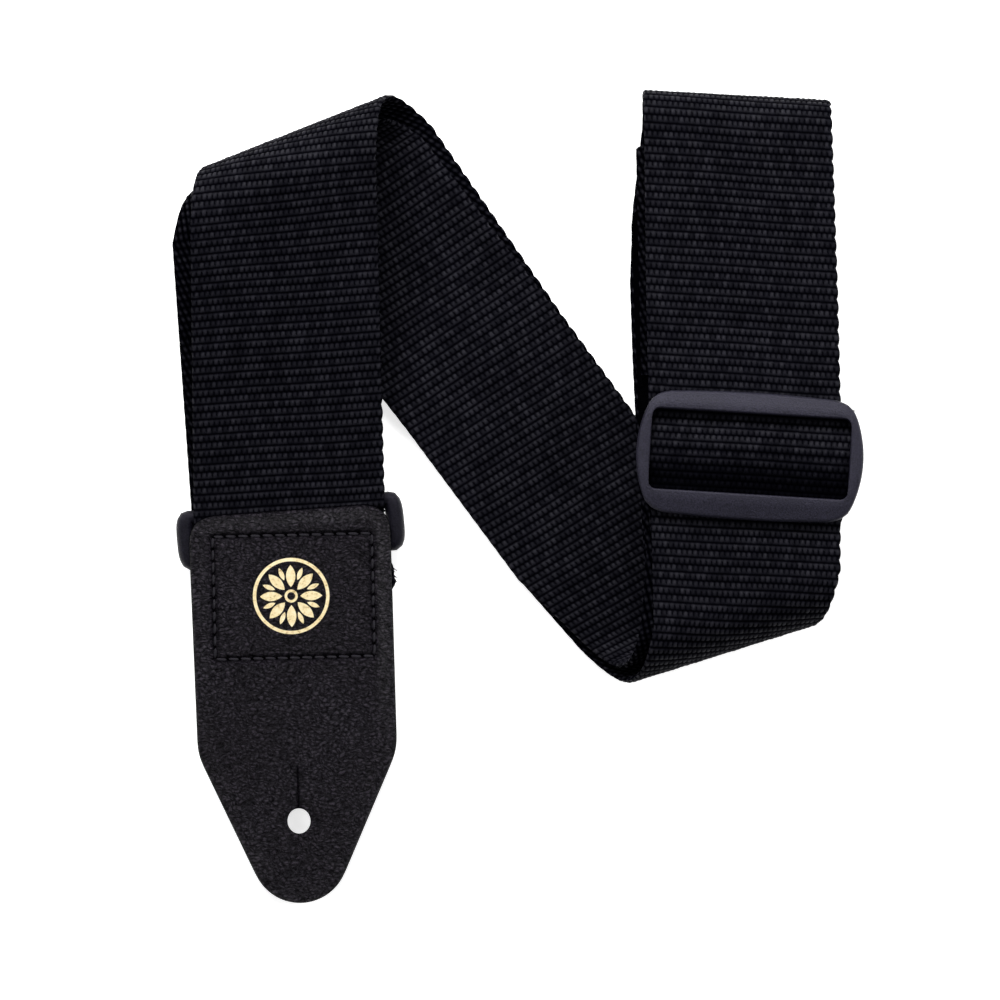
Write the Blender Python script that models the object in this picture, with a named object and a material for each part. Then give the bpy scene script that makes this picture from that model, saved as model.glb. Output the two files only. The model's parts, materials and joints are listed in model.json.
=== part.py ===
"""A 2 inch webbing guitar strap lying folded on a table.

Millimetres inside, metres at the mesh. The table is z = 0 and the strap is seen from +Z.
The long webbing is a ribbon: a list of stations, each one straight line across the strap.
"""

import math

import bmesh
import bpy
import numpy as np

MM = 0.001
# The table point under the middle of the folded outline, which is the origin of every mesh
HOME = (4.7, 0.83, 0.0)

# Webbing
WEB_WIDTH = 50.8
WEB_THICK = 1.6
HALF_WEB = WEB_WIDTH / 2
HALF_THICK = WEB_THICK / 2
PLY_GAP = 0.3

# The diagonal run lies flat on the table. DIAG_ANGLE is from -Y towards +X.
DIAG_ANGLE = 36.4
DIAG_LOW_Z = HALF_THICK
DIAG_HIGH_Z = DIAG_LOW_Z + WEB_THICK + PLY_GAP
DIAG_LOW_MID = 16.9
DIAG_HIGH_MID = 16.7
DIAG_DRIFT = 0.2
DIAG_STOPS = (20.0, -30.0)

# Fold 1, top left: the strap turns up and back over itself into the left leg.
FOLD1_ANGLE = 21.5
FOLD1_OUT_DIST = 99.7
FOLD1_IN_DIST = 97.2
FOLD1_OUT_R = 10.9
FOLD1_IN_R = 8.7
FOLD1_RISE = 12.5
FOLD1_OUT_BOTTOM = (-33.8, 19.4)
FOLD1_OUT_TOP = (-50.0, 2.8)
FOLD1_IN_BOTTOM = (-37.2, 16.1)
FOLD1_IN_TOP = (-56.0, -2.8)

# Fold 2, bottom right: the strap turns up and over into the right leg.
FOLD2_ANGLE = 17.0
FOLD2_OUT_DIST = 44.5
FOLD2_IN_DIST = 43.2
FOLD2_OUT_BOTTOM = (8.9, 60.3)
FOLD2_IN_BOTTOM = (10.2, 60.2)
FOLD2_OUT_TOP = (-25.4, 24.3)

# Right leg frame: origin under the slider, v up the leg, h across it.
LEG_ORIGIN = (65.2, 11.5, 4.7)
LEG_LEAN = 1.3
LEG_SLOPE = 2.6
LEG_FRONT_MID = 16.9
LEG_INNER_MID = 12.8
LEG_INNER_END = -14.5
LEG_INNER_SHIFT = -3.4
LEG_STOPS = (40.0, 10.0)

# Fold at the top of the right leg, and the three passes of the tail behind it.
TOP_FOLD_V = 87.2
TOP_FOLD_TILT = -4.4
TOP_HALF = 24.9
TOP_SHIFT = 0.3
TAIL_MIDS = (0.8, 3.2, 8.2)
TAIL_TURN_TOP_V = 80.0
TAIL_TURN_LOW_V = -32.0
TAIL_END_V = 22.0
TAIL_HIGH_STOP = 50.0
TAIL_MID_STOP = 24.0
TAIL_SHIFT = -1.7
TAIL_LOW_STOPS = (4.0, 27.0, 47.0, 66.0)
TAIL_LOW_SHIFTS = (-3.3, -3.9, -4.1, -3.0)
LEATHER_B_SHIFT = -1.4
LEATHER_B_TIP_V = -35.5

# Rectangular ring of round bar
RING_ANGLE = 5.5
RING_CENTRE = (-55.8, -8.2)
RING_WIDTH = 59.8
RING_HEIGHT = 15.6
RING_BAR_R = 1.9
RING_BAR_HALF = 26.0
RING_SQUARENESS = 0.6
RING_Z = 4.2
LOOP_PLAY = 0.35
LOOP_R = RING_BAR_R + LOOP_PLAY + HALF_THICK
RING_FRONT_SHIFT = 0.2
RING_BACK_SHIFT = -0.4
RING_LOOP_SPREAD = 0.05
RING_LOOP_ANGLES = (190.0, -12.0)

# Leather ends
LEATHER_THICK = 3.0
LEATHER_B_THICK = 2.8
LEATHER_TOP = -11.95
LEATHER_TIP = 93.25
LEATHER_HALF_TOP = 26.8
LEATHER_HALF_SHOULDER = 26.5
LEATHER_SHOULDER = 49.75
LEATHER_CORNER_R = 6.5
LEATHER_SHOULDER_R = 14.0
LEATHER_TOP_SKEW = 2.9
LEATHER_TOP_SHIFT = -0.8
LEATHER_SKEW_END = 14.25
LEATHER_LEAN = 1.35
LEATHER_SLOPE = 4.9
TIP_RADIUS = 12.8
HOLE_Y = 71.25
HOLE_R = 3.1
HOLE_STRETCH = 1.12
SLIT_LENGTH = 11.5
SLIT_WIDTH = 0.6
SLIT_CORNER_R = 0.25
BOX_HALF = 21.2
BOX_TOP = -5.35
BOX_BOTTOM = 27.45
BOX_CORNER_R = 1.2
GROOVE_WIDTH = 1.3
GROOVE_DEPTH = 0.9
THREAD_R = 0.3
THREAD_GAP = 0.15
THREAD_SIDES = 8
KEEPER_THREAD_TOP = 8.0
RIM_CHAMFER = 0.6

# Keeper webbing
KEEPER_END = 38.25
KEEPER_SHIFT = 0.1
KEEPER_SHIFT_LOW = 1.8
KEEPER_RAMP = 16.0
KEEPER_FLAT = 12.0
KEEPER_STEP = 8.0
KEEPER_BACK_SHORT = 2.0

# Slider
SLIDER_WIDTH = 60.4
SLIDER_HEIGHT = 33.9
SLIDER_TILT = -4.8
SLIDER_H = 1.1
SLIDER_V = -0.8
SLIDER_Z0 = 18.0
SLIDER_THICK = 3.6
WINDOW_WIDTH = 53.0
WINDOW_HEIGHT = 21.4
WINDOW_SHIFT = 0.6
WINDOW_CORNER_R = 2.0
END_BOW = 4.3
END_CORNER = 3.2
END_CORNER_POWER = 14
END_STEPS = 18
SIDE_BOW = 0.8
SIDE_STEPS = 10
SLIDER_CHAMFER = 0.7
BAR_Z = 12.8
BAR_THICK = 2.2
BAR_HALF_DEPTH = 2.8
LUG_HALF_DEPTH = 3.4
LUG_INNER = 27.1
LUG_INSET = 0.8
LUG_CORNER_R = 1.0
LUG_DROP = 0.2
LUG_BITE = 1.5
BAR_BITE = 1.2
SLIDER_LOOP_R = 2.2
SLIDER_LOOP_V = 2.1
LOOP_OVER_END = -17.0
LOOP_UNDER_END = -15.5

FOLD_STEPS = 16
TURN_STEPS = 10
RING_SIDES = 20
RING_END_STEPS = 20
HOLE_STEPS = 32
CUT_REACH = 3.0
UP = np.array((0.0, 0.0, 1.0))


def clear_scene():
    for obj in list(bpy.data.objects):
        bpy.data.objects.remove(obj, do_unlink=True)


def flat_dir(degrees):
    angle = math.radians(degrees)
    return np.array((math.cos(angle), math.sin(angle), 0.0))


def lerp(a, b, t):
    return a + (b - a) * t


class Frame:
    """A rigid frame: origin, across (x), along (y) and face normal (z)."""

    def __init__(self, origin, across, along):
        self.origin = np.array(origin, float)
        self.across = across / np.linalg.norm(across)
        self.along = along / np.linalg.norm(along)
        normal = np.cross(self.across, self.along)
        self.normal = normal if normal[2] > 0 else -normal

    def at(self, x, y, z):
        return self.origin + x * self.across + y * self.along + z * self.normal


def diagonal_frame():
    along = flat_dir(DIAG_ANGLE - 90.0)
    return Frame((0.0, 0.0, 0.0), flat_dir(DIAG_ANGLE), along)


def leg_frame():
    slope = math.radians(LEG_SLOPE)
    along = flat_dir(90.0 + LEG_LEAN) * math.cos(slope) - UP * math.sin(slope)
    return Frame(LEG_ORIGIN, flat_dir(LEG_LEAN), along)


def ring_centre(side):
    """The middle of the ring's strap bar (side 1) or keeper bar (side -1)."""
    reach = side * (RING_HEIGHT / 2 - RING_BAR_R)
    centre = np.array((RING_CENTRE[0], RING_CENTRE[1], RING_Z))
    return centre + reach * flat_dir(90.0 + RING_ANGLE)


def tab_frame():
    """Leather end A: y runs from the ring to the tip, z = 0 is the back of the leather."""
    slope = math.radians(LEATHER_SLOPE)
    along = flat_dir(LEATHER_LEAN - 90.0) * math.cos(slope) - UP * math.sin(slope)
    frame = Frame((0.0, 0.0, 0.0), flat_dir(LEATHER_LEAN), along)
    rise = RING_BAR_R + LOOP_PLAY + WEB_THICK + PLY_GAP
    frame.origin = ring_centre(-1) + rise * frame.normal
    return frame


def slider_frame():
    leg = leg_frame()
    tilt = math.radians(SLIDER_TILT)
    across = leg.across * math.cos(tilt) + leg.along * math.sin(tilt)
    along = leg.along * math.cos(tilt) - leg.across * math.sin(tilt)
    return Frame(leg.at(SLIDER_H, SLIDER_V, 0.0), across, along)


def bend(axis_point, axis, outward, left, right, angles, steps):
    """Stations round a bend. left and right are ((radius, centre height) and (a0, a1)).

    The angle is 0 at the bottom of the bend, 90 at its outermost and 180 at its top.
    """
    stations = []
    for i in range(steps + 1):
        t = i / steps
        angle = math.radians(lerp(angles[0], angles[1], t))
        pair = []
        for (radius, height), (a0, a1) in (left, right):
            point = axis_point + axis * lerp(a0, a1, t) + UP * height
            point = point + radius * (math.sin(angle) * outward - math.cos(angle) * UP)
            pair.append(point)
        stations.append(pair)
    return stations


def turn(frame, centre, radius, angles, left, right, tilt=0.0, way=1.0, steps=TURN_STEPS):
    """Stations round a turn in a rigid frame; centre is (y, z) and way is which y is outward."""
    lean = math.radians(tilt)
    stations = []
    for i in range(steps + 1):
        t = i / steps
        angle = math.radians(lerp(angles[0], angles[1], t))
        out = way * radius * math.sin(angle)
        height = centre[1] - radius * math.cos(angle)
        pair = []
        for a0, a1 in (left, right):
            x = lerp(a0, a1, t)
            y = centre[0] + x * math.tan(lean) + out
            pair.append(frame.at(x, y, height))
        stations.append(pair)
    return stations


def run(frame, ys, z, mids, half=HALF_WEB):
    """Straight stations square across a frame, one for each y, with the middle of each."""
    return [
        [frame.at(mid - half, y, z), frame.at(mid + half, y, z)]
        for y, mid in zip(ys, mids)
    ]


def fold1(dist, radius, bottom_z, bottom, top, steps=FOLD_STEPS):
    """Fold 1 from the diagonal (bottom) up to the left leg (top)."""
    axis = flat_dir(FOLD1_ANGLE)
    outward = flat_dir(FOLD1_ANGLE + 90.0)
    round_it = (radius, bottom_z + radius)
    left = (round_it, (bottom[0], top[0]))
    right = (round_it, (bottom[1], top[1]))
    angles = (0.0, 180.0 + FOLD1_RISE)
    return bend(outward * dist, axis, outward, left, right, angles, steps)


def fold2(dist, bottom_z, bottom, leg_x, leg_z, steps=FOLD_STEPS):
    """Fold 2 from the diagonal (bottom) up to the right leg's plane (top)."""
    leg = leg_frame()
    axis = flat_dir(FOLD2_ANGLE)
    outward = flat_dir(FOLD2_ANGLE - 90.0)
    sides = []
    for a_bottom, x in zip(bottom, leg_x):
        base = leg.at(x, 0.0, leg_z)
        y = (dist - base @ outward) / (leg.along @ outward)
        end = leg.at(x, y, leg_z)
        radius = (end[2] - bottom_z) / 2
        sides.append(((radius, bottom_z + radius), (a_bottom, float(end @ axis))))
    return bend(outward * dist, axis, outward, sides[0], sides[1], (0.0, 180.0), steps)


def tail_path():
    """The hidden tail behind the right leg: three passes, from the cut end up to the top fold."""
    leg = leg_frame()
    low, mid, high = TAIL_MIDS
    left = (TAIL_SHIFT - HALF_WEB,) * 2
    right = (TAIL_SHIFT + HALF_WEB,) * 2
    path = run(leg, (TAIL_END_V, TAIL_HIGH_STOP), high, (TAIL_SHIFT,) * 2)
    centre = (TAIL_TURN_TOP_V, (mid + high) / 2)
    path += turn(leg, centre, (high - mid) / 2, (180, 0), left, right)
    path += run(leg, (TAIL_MID_STOP,), mid, (TAIL_SHIFT,))
    centre = (TAIL_TURN_LOW_V, (low + mid) / 2)
    path += turn(leg, centre, (mid - low) / 2, (180, 0), left, right, way=-1.0)
    path += run(leg, TAIL_LOW_STOPS, low, TAIL_LOW_SHIFTS)
    return path


def top_fold():
    """The fold at the top of the right leg, from the tail's last pass to the front ply."""
    low = TAIL_MIDS[0]
    radius = (LEG_FRONT_MID - low) / 2
    left = (-TOP_HALF - TOP_SHIFT, -TOP_HALF)
    right = (TOP_HALF - TOP_SHIFT, TOP_HALF)
    centre = (TOP_FOLD_V, low + radius)
    return turn(leg_frame(), centre, radius, (0, 180), left, right, TOP_FOLD_TILT, steps=FOLD_STEPS)


def strap_path():
    """The long webbing, from its cut end at leather end B to its end near the slider."""
    leg = leg_frame()
    diag = diagonal_frame()
    path = tail_path() + top_fold()
    path += run(leg, LEG_STOPS, LEG_FRONT_MID, (0.0, 0.0))
    path += fold2(FOLD2_OUT_DIST, DIAG_LOW_Z, FOLD2_OUT_BOTTOM, FOLD2_OUT_TOP, LEG_FRONT_MID)[::-1]
    path += run(diag, DIAG_STOPS, DIAG_LOW_Z, (DIAG_LOW_MID, DIAG_LOW_MID + DIAG_DRIFT))
    path += fold1(FOLD1_OUT_DIST, FOLD1_OUT_R, DIAG_LOW_Z, FOLD1_OUT_BOTTOM, FOLD1_OUT_TOP)
    path += ring_loop()
    path += fold1(FOLD1_IN_DIST, FOLD1_IN_R, DIAG_HIGH_Z, FOLD1_IN_BOTTOM, FOLD1_IN_TOP)[::-1]
    path += run(diag, DIAG_STOPS[::-1], DIAG_HIGH_Z, (DIAG_HIGH_MID - DIAG_DRIFT, DIAG_HIGH_MID))
    inner = (LEG_INNER_SHIFT - HALF_WEB, LEG_INNER_SHIFT + HALF_WEB)
    path += fold2(FOLD2_IN_DIST, DIAG_HIGH_Z, FOLD2_IN_BOTTOM, inner, LEG_INNER_MID)
    path += run(leg, (LEG_INNER_END,), LEG_INNER_MID, (LEG_INNER_SHIFT,))
    return path


def ring_loop():
    """The strap's turn round the ring's upper bar, from the front ply to the back ply."""
    axis = flat_dir(RING_ANGLE)
    outward = flat_dir(RING_ANGLE - 90.0)
    reach = HALF_WEB + RING_LOOP_SPREAD
    left = ((LOOP_R, 0.0), (RING_FRONT_SHIFT - reach, RING_BACK_SHIFT - reach))
    right = ((LOOP_R, 0.0), (RING_FRONT_SHIFT + reach, RING_BACK_SHIFT + reach))
    return bend(ring_centre(1), axis, outward, left, right, RING_LOOP_ANGLES, TURN_STEPS + 2)


def keeper_path():
    """The keeper webbing: front ply under the leather, round the ring's lower bar, and back."""
    tab = tab_frame()
    front_z = -PLY_GAP - HALF_THICK
    bar_z = front_z - LOOP_R
    skew = RING_ANGLE - LEATHER_LEAN
    path = run(tab, (KEEPER_END, KEEPER_FLAT, KEEPER_STEP), front_z, (0.0, 0.0, KEEPER_SHIFT_LOW))
    left = (KEEPER_SHIFT - HALF_WEB,) * 2
    right = (KEEPER_SHIFT + HALF_WEB,) * 2
    path += turn(tab, (0.0, bar_z), LOOP_R, (180, 0), left, right, -skew, -1.0)
    low_z = front_z - WEB_THICK - PLY_GAP
    path += run(tab, (KEEPER_RAMP, KEEPER_END - KEEPER_BACK_SHORT), low_z, (0.0, 0.0))
    return path


def slider_loop_path():
    """The sewn loop round the slider's middle bar, open towards the fold."""
    slider = slider_frame()
    mid = 0.0
    over = BAR_Z + SLIDER_LOOP_R
    under = BAR_Z - SLIDER_LOOP_R
    path = run(slider, (LOOP_OVER_END,), over, (mid,))
    left = (mid - HALF_WEB,) * 2
    right = (mid + HALF_WEB,) * 2
    path += turn(slider, (SLIDER_LOOP_V, BAR_Z), SLIDER_LOOP_R, (180, 0), left, right)
    path += run(slider, (LOOP_UNDER_END,), under, (mid,))
    return path


def make_object(name, verts, faces, colour, roughness, smooth):
    mesh = bpy.data.meshes.new(name)
    points = (np.array(verts, float) - HOME) * MM
    mesh.from_pydata(points.tolist(), [], faces)
    bm = bmesh.new()
    bm.from_mesh(mesh)
    bmesh.ops.recalc_face_normals(bm, faces=bm.faces)
    bm.to_mesh(mesh)
    bm.free()
    obj = bpy.data.objects.new(name, mesh)
    bpy.context.scene.collection.objects.link(obj)
    if smooth:
        for polygon in mesh.polygons:
            polygon.use_smooth = True
    material = bpy.data.materials.new(name + "_material")
    material.use_nodes = True
    shader = material.node_tree.nodes["Principled BSDF"]
    shader.inputs["Base Color"].default_value = (*colour, 1.0)
    shader.inputs["Roughness"].default_value = roughness
    mesh.materials.append(material)
    return obj


def ribbon(name, stations, colour):
    """A closed strip of webbing thickness along the stations."""
    edges = np.array(stations)
    ruling = edges[:, 1] - edges[:, 0]
    verts = []
    for side in (0, 1):
        tangent = np.gradient(edges[:, side], axis=0)
        normal = np.cross(tangent, ruling)
        normal /= np.linalg.norm(normal, axis=1)[:, None]
        under = edges[:, side] - normal * HALF_THICK
        over = edges[:, side] + normal * HALF_THICK
        verts.append((under, over))
    corners = np.stack((verts[0][0], verts[1][0], verts[1][1], verts[0][1]), axis=1)
    faces = []
    last = len(corners) - 1
    for i in range(last):
        for k in range(4):
            a = 4 * i + k
            b = 4 * i + (k + 1) % 4
            faces.append((a, b, b + 4, a + 4))
    faces.append((3, 2, 1, 0))
    faces.append((4 * last, 4 * last + 1, 4 * last + 2, 4 * last + 3))
    return make_object(name, corners.reshape(-1, 3), faces, colour, 0.85, False)


def tube(name, points, radius, sides, colour, roughness):
    """A closed round tube round a closed loop of points."""
    points = np.array(points)
    count = len(points)
    verts = []
    loop_normal = np.linalg.svd(points - points.mean(0))[2][2]
    for i in range(count):
        tangent = points[(i + 1) % count] - points[i - 1]
        tangent /= np.linalg.norm(tangent)
        side = np.cross(loop_normal, tangent)
        side /= np.linalg.norm(side)
        for k in range(sides):
            angle = 2 * math.pi * k / sides
            spoke = math.cos(angle) * side + math.sin(angle) * loop_normal
            verts.append(points[i] + radius * spoke)
    faces = []
    for i in range(count):
        for k in range(sides):
            a = i * sides + k
            b = i * sides + (k + 1) % sides
            c = ((i + 1) % count) * sides + (k + 1) % sides
            d = ((i + 1) % count) * sides + k
            faces.append((a, b, c, d))
    return make_object(name, verts, faces, colour, roughness, True)


def rounded_box(half_x, y0, y1, radius, steps=6):
    """Outline points of a rectangle with round corners, anticlockwise."""
    points = []
    corners = (
        (half_x - radius, y0 + radius, -90.0),
        (half_x - radius, y1 - radius, 0.0),
        (-half_x + radius, y1 - radius, 90.0),
        (-half_x + radius, y0 + radius, 180.0),
    )
    for cx, cy, start in corners:
        for i in range(steps + 1):
            angle = math.radians(start + 90.0 * i / steps)
            points.append((cx + radius * math.cos(angle), cy + radius * math.sin(angle)))
    return points


def leather_outline():
    """Outline of a leather end: square top, straight sides, round shoulders and a round tip."""
    tip_centre = LEATHER_TIP - TIP_RADIUS
    centre = LEATHER_HALF_SHOULDER - LEATHER_SHOULDER_R
    rise = tip_centre - LEATHER_SHOULDER
    difference = (LEATHER_SHOULDER_R - TIP_RADIUS) / math.hypot(centre, rise)
    taper = math.atan2(centre, rise) + math.asin(difference)
    right = []
    for degrees in range(0, 91, 15):
        angle = math.radians(degrees)
        x = LEATHER_HALF_TOP - LEATHER_CORNER_R * (1 - math.sin(angle))
        right.append((x, LEATHER_TOP + LEATHER_CORNER_R * (1 - math.cos(angle))))
    for i in range(6):
        angle = taper * i / 5
        x = centre + LEATHER_SHOULDER_R * math.cos(angle)
        right.append((x, LEATHER_SHOULDER + LEATHER_SHOULDER_R * math.sin(angle)))
    for i in range(9):
        angle = lerp(taper, math.pi / 2, i / 8)
        x = TIP_RADIUS * math.cos(angle)
        right.append((x, tip_centre + TIP_RADIUS * math.sin(angle)))
    left = [(-x, y) for x, y in right[-2::-1]]
    skew = math.tan(math.radians(LEATHER_TOP_SKEW))
    points = []
    for x, y in right + left:
        share = (LEATHER_SKEW_END - y) / (LEATHER_SKEW_END - LEATHER_TOP)
        share = max(0.0, min(1.0, share))
        points.append((x + LEATHER_TOP_SHIFT * share, y - x * skew * share))
    return points


def prism(name, frame, outline, z0, z1, colour, chamfer=0.0):
    """An outline extruded between two heights in a frame, with chamfered rims."""
    outline = np.array(outline)
    count = len(outline)
    centre = outline.mean(0)
    ahead = np.roll(outline, -1, 0) - np.roll(outline, 1, 0)
    inward = np.stack((-ahead[:, 1], ahead[:, 0]), 1)
    inward /= np.linalg.norm(inward, axis=1)[:, None]
    facing = np.sign(((centre - outline) * inward).sum(1))
    inward *= np.sign(facing.sum())
    layers = ((chamfer, z0), (0.0, z0 + chamfer), (0.0, z1 - chamfer), (chamfer, z1))
    if not chamfer:
        layers = ((0.0, z0), (0.0, z1))
    verts = []
    for inset, z in layers:
        for x, y in outline + inward * inset:
            verts.append(frame.at(x, y, z))
    top = range((len(layers) - 1) * count, len(layers) * count)
    faces = [tuple(range(count)), tuple(reversed(top))]
    for layer in range(len(layers) - 1):
        for i in range(count):
            a = layer * count + i
            b = layer * count + (i + 1) % count
            faces.append((a, b, b + count, a + count))
    return make_object(name, verts, faces, colour, 0.6, False)


def boolean(target, other, operation):
    modifier = target.modifiers.new(operation.lower(), "BOOLEAN")
    modifier.operation = operation
    modifier.solver = "EXACT"
    modifier.object = other
    other.hide_render = True
    other.display_type = "WIRE"


def make_tab(letter, frame, thick, colour):
    """A leather end with its button hole, slit and the groove its stitches have sunk."""
    name = "tab_" + letter + "_leather"
    leather = prism(name, frame, leather_outline(), 0.0, thick, colour, RIM_CHAMFER)
    hole = []
    for i in range(HOLE_STEPS):
        angle = 2 * math.pi * i / HOLE_STEPS
        x = HOLE_R * math.cos(angle)
        hole.append((x, HOLE_Y + HOLE_R * HOLE_STRETCH * math.sin(angle)))
    slit_top = HOLE_Y - HOLE_R - SLIT_LENGTH
    slit = rounded_box(SLIT_WIDTH / 2, slit_top, HOLE_Y, SLIT_CORNER_R, 3)
    for word, outline in (("hole_", hole), ("slit_", slit)):
        cutter = prism("cut_" + word + letter, frame, outline, -CUT_REACH, thick + CUT_REACH, colour)
        boolean(leather, cutter, "DIFFERENCE")
    boolean(leather, groove_cutter(letter, frame, thick, colour), "DIFFERENCE")
    return leather


def groove_cutter(letter, frame, thick, colour):
    """A square ring that follows the box stitch and reaches down into the leather's face."""
    outlines = []
    for grow in (GROOVE_WIDTH / 2, -GROOVE_WIDTH / 2):
        outlines.append(
            rounded_box(BOX_HALF + grow, BOX_TOP - grow, BOX_BOTTOM + grow, BOX_CORNER_R + grow)
        )
    count = len(outlines[0])
    verts = []
    for z in (thick - GROOVE_DEPTH, thick + CUT_REACH):
        for outline in outlines:
            verts += [frame.at(x, y, z) for x, y in outline]
    faces = []
    for i in range(count):
        j = (i + 1) % count
        faces.append((i, j, count + j, count + i))
        faces.append((2 * count + i, 3 * count + i, 3 * count + j, 2 * count + j))
        faces.append((i, 2 * count + i, 2 * count + j, j))
        faces.append((count + i, count + j, 3 * count + j, 3 * count + i))
    return make_object("cut_groove_" + letter, verts, faces, colour, 0.6, False)


def box_thread(name, frame, height):
    """The stitch line of a leather end, at one height."""
    outline = rounded_box(BOX_HALF, BOX_TOP, BOX_BOTTOM, BOX_CORNER_R)
    points = [frame.at(x, y, height) for x, y in outline]
    return tube(name, points, THREAD_R, THREAD_SIDES, (0.02, 0.02, 0.025), 0.7)


def with_stop(points, y_stop):
    """The closed outline with a point added wherever a side crosses y_stop."""
    result = []
    for (ax, ay), (bx, by) in zip(points, points[1:] + points[:1]):
        result.append((ax, ay))
        if (ay - y_stop) * (by - y_stop) < 0:
            result.append((lerp(ax, bx, (y_stop - ay) / (by - ay)), y_stop))
    return result


def keeper_back_thread():
    """The thread under the keeper's back ply, which climbs from the ring to the leather."""
    front_z = -PLY_GAP - HALF_THICK
    flat_z = front_z - WEB_THICK - PLY_GAP
    loop_z = front_z - 2 * LOOP_R
    tab = tab_frame()
    points = []
    outline = rounded_box(BOX_HALF, KEEPER_THREAD_TOP, BOX_BOTTOM, BOX_CORNER_R)
    for x, y in with_stop(outline, KEEPER_RAMP):
        low_z = lerp(loop_z, flat_z, min(1.0, y / KEEPER_RAMP))
        points.append(tab.at(x, y, low_z - HALF_THICK - PLY_GAP - THREAD_R))
    colour = (0.02, 0.02, 0.025)
    return tube("tab_a_bobbin_thread", points, THREAD_R, THREAD_SIDES, colour, 0.7)


def make_ring():
    """The rectangular ring: two straight bars joined by bowed ends."""
    axis = flat_dir(RING_ANGLE)
    along = flat_dir(RING_ANGLE + 90.0)
    frame = Frame((RING_CENTRE[0], RING_CENTRE[1], RING_Z), axis, along)
    half_y = RING_HEIGHT / 2 - RING_BAR_R
    bulge = RING_WIDTH / 2 - RING_BAR_R - RING_BAR_HALF
    points = []
    for side in (1, -1):
        for i in range(RING_END_STEPS + 1):
            angle = math.radians(lerp(-90.0, 90.0, i / RING_END_STEPS))
            x = RING_BAR_HALF + bulge * abs(math.cos(angle)) ** RING_SQUARENESS
            y = half_y * math.copysign(abs(math.sin(angle)) ** RING_SQUARENESS, angle)
            points.append(frame.at(side * x, side * y, 0.0))
    return tube("ring", points, RING_BAR_R, RING_SIDES, (0.03, 0.03, 0.04), 0.45)


def end_bow(share):
    """How far the slider's end falls in at a share (-1 to 1) of its height."""
    return END_BOW * share * share + END_CORNER * abs(share) ** END_CORNER_POWER


def slider_outline():
    """The slider's outer edge: slightly bowed long sides and strongly bowed ends."""
    half_x = SLIDER_WIDTH / 2
    half_y = SLIDER_HEIGHT / 2 - SIDE_BOW
    points = []
    for side in (1, -1):
        for i in range(END_STEPS + 1):
            share = math.sin(math.radians(lerp(-90.0, 90.0, i / END_STEPS)))
            x = half_x - end_bow(share)
            points.append((side * x, side * share * half_y))
        for i in range(1, SIDE_STEPS):
            share = lerp(1.0, -1.0, i / SIDE_STEPS)
            y = half_y + SIDE_BOW * (1.0 - share * share)
            points.append((side * share * (half_x - end_bow(1.0)), side * y))
    return points


def make_slider():
    """The slider: a flat frame with a window, and a middle bar sunk below it on two lugs."""
    colour = (0.05, 0.05, 0.065)
    frame = slider_frame()
    z1 = SLIDER_Z0 + SLIDER_THICK
    plate = prism("slider_frame", frame, slider_outline(), SLIDER_Z0, z1, colour, SLIDER_CHAMFER)
    half_y = WINDOW_HEIGHT / 2
    window = rounded_box(
        WINDOW_WIDTH / 2, WINDOW_SHIFT - half_y, WINDOW_SHIFT + half_y, WINDOW_CORNER_R
    )
    cutter = prism("cut_window", frame, window, SLIDER_Z0 - CUT_REACH, z1 + CUT_REACH, colour)
    boolean(plate, cutter, "DIFFERENCE")
    outer = SLIDER_WIDTH / 2 - LUG_INSET
    foot = BAR_Z - BAR_THICK / 2 - LUG_DROP
    for side, word in ((-1, "left"), (1, "right")):
        centre = side * (LUG_INNER + outer) / 2
        half = (outer - LUG_INNER) / 2
        box = rounded_box(half, -LUG_HALF_DEPTH, LUG_HALF_DEPTH, LUG_CORNER_R, 4)
        box = [(centre + x, y) for x, y in box]
        lug = prism("join_lug_" + word, frame, box, foot, SLIDER_Z0 + LUG_BITE, colour)
        boolean(plate, lug, "UNION")
    boolean(plate, bar_between_lugs(frame, colour), "UNION")
    return plate


def bar_between_lugs(frame, colour):
    """The middle bar: a flat bar with round edges that the webbing loop turns about."""
    reach = LUG_INNER + BAR_BITE
    nose = BAR_THICK / 2
    section = []
    for start, y in ((-90.0, BAR_HALF_DEPTH - nose), (90.0, nose - BAR_HALF_DEPTH)):
        for i in range(9):
            angle = math.radians(start + 180.0 * i / 8)
            section.append((y + nose * math.cos(angle), BAR_Z + nose * math.sin(angle)))
    count = len(section)
    verts = [frame.at(x, y, z) for x in (-reach, reach) for y, z in section]
    faces = [tuple(range(count)), tuple(range(2 * count - 1, count - 1, -1))]
    for i in range(count):
        j = (i + 1) % count
        faces.append((i, j, count + j, count + i))
    return make_object("join_bar", verts, faces, colour, 0.5, False)


def tab_b_frame():
    """Leather end B lies face down in the tail; its back touches the webbing's last pass."""
    leg = leg_frame()
    frame = Frame((0.0, 0.0, 0.0), leg.across, -leg.along)
    frame.normal = -leg.normal
    top = TAIL_MIDS[2] - HALF_THICK - PLY_GAP
    frame.origin = leg.at(LEATHER_B_SHIFT, LEATHER_TIP + LEATHER_B_TIP_V, top)
    return frame


def build():
    clear_scene()
    web = (0.012, 0.012, 0.016)
    hide = (0.02, 0.018, 0.024)
    ribbon("strap_webbing", strap_path(), web)
    ribbon("slider_loop_webbing", slider_loop_path(), web)
    ribbon("keeper_webbing", keeper_path(), web)
    make_ring()
    make_slider()
    sunk = GROOVE_DEPTH - THREAD_R - THREAD_GAP
    tab_a = tab_frame()
    make_tab("a", tab_a, LEATHER_THICK, hide)
    box_thread("tab_a_needle_thread", tab_a, LEATHER_THICK - sunk)
    keeper_back_thread()
    tab_b = tab_b_frame()
    make_tab("b", tab_b, LEATHER_B_THICK, hide)
    box_thread("tab_b_needle_thread", tab_b, LEATHER_B_THICK - sunk)
    clear = PLY_GAP + WEB_THICK + THREAD_GAP + THREAD_R
    box_thread("tab_b_bobbin_thread", tab_b, -clear)


build()
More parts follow.
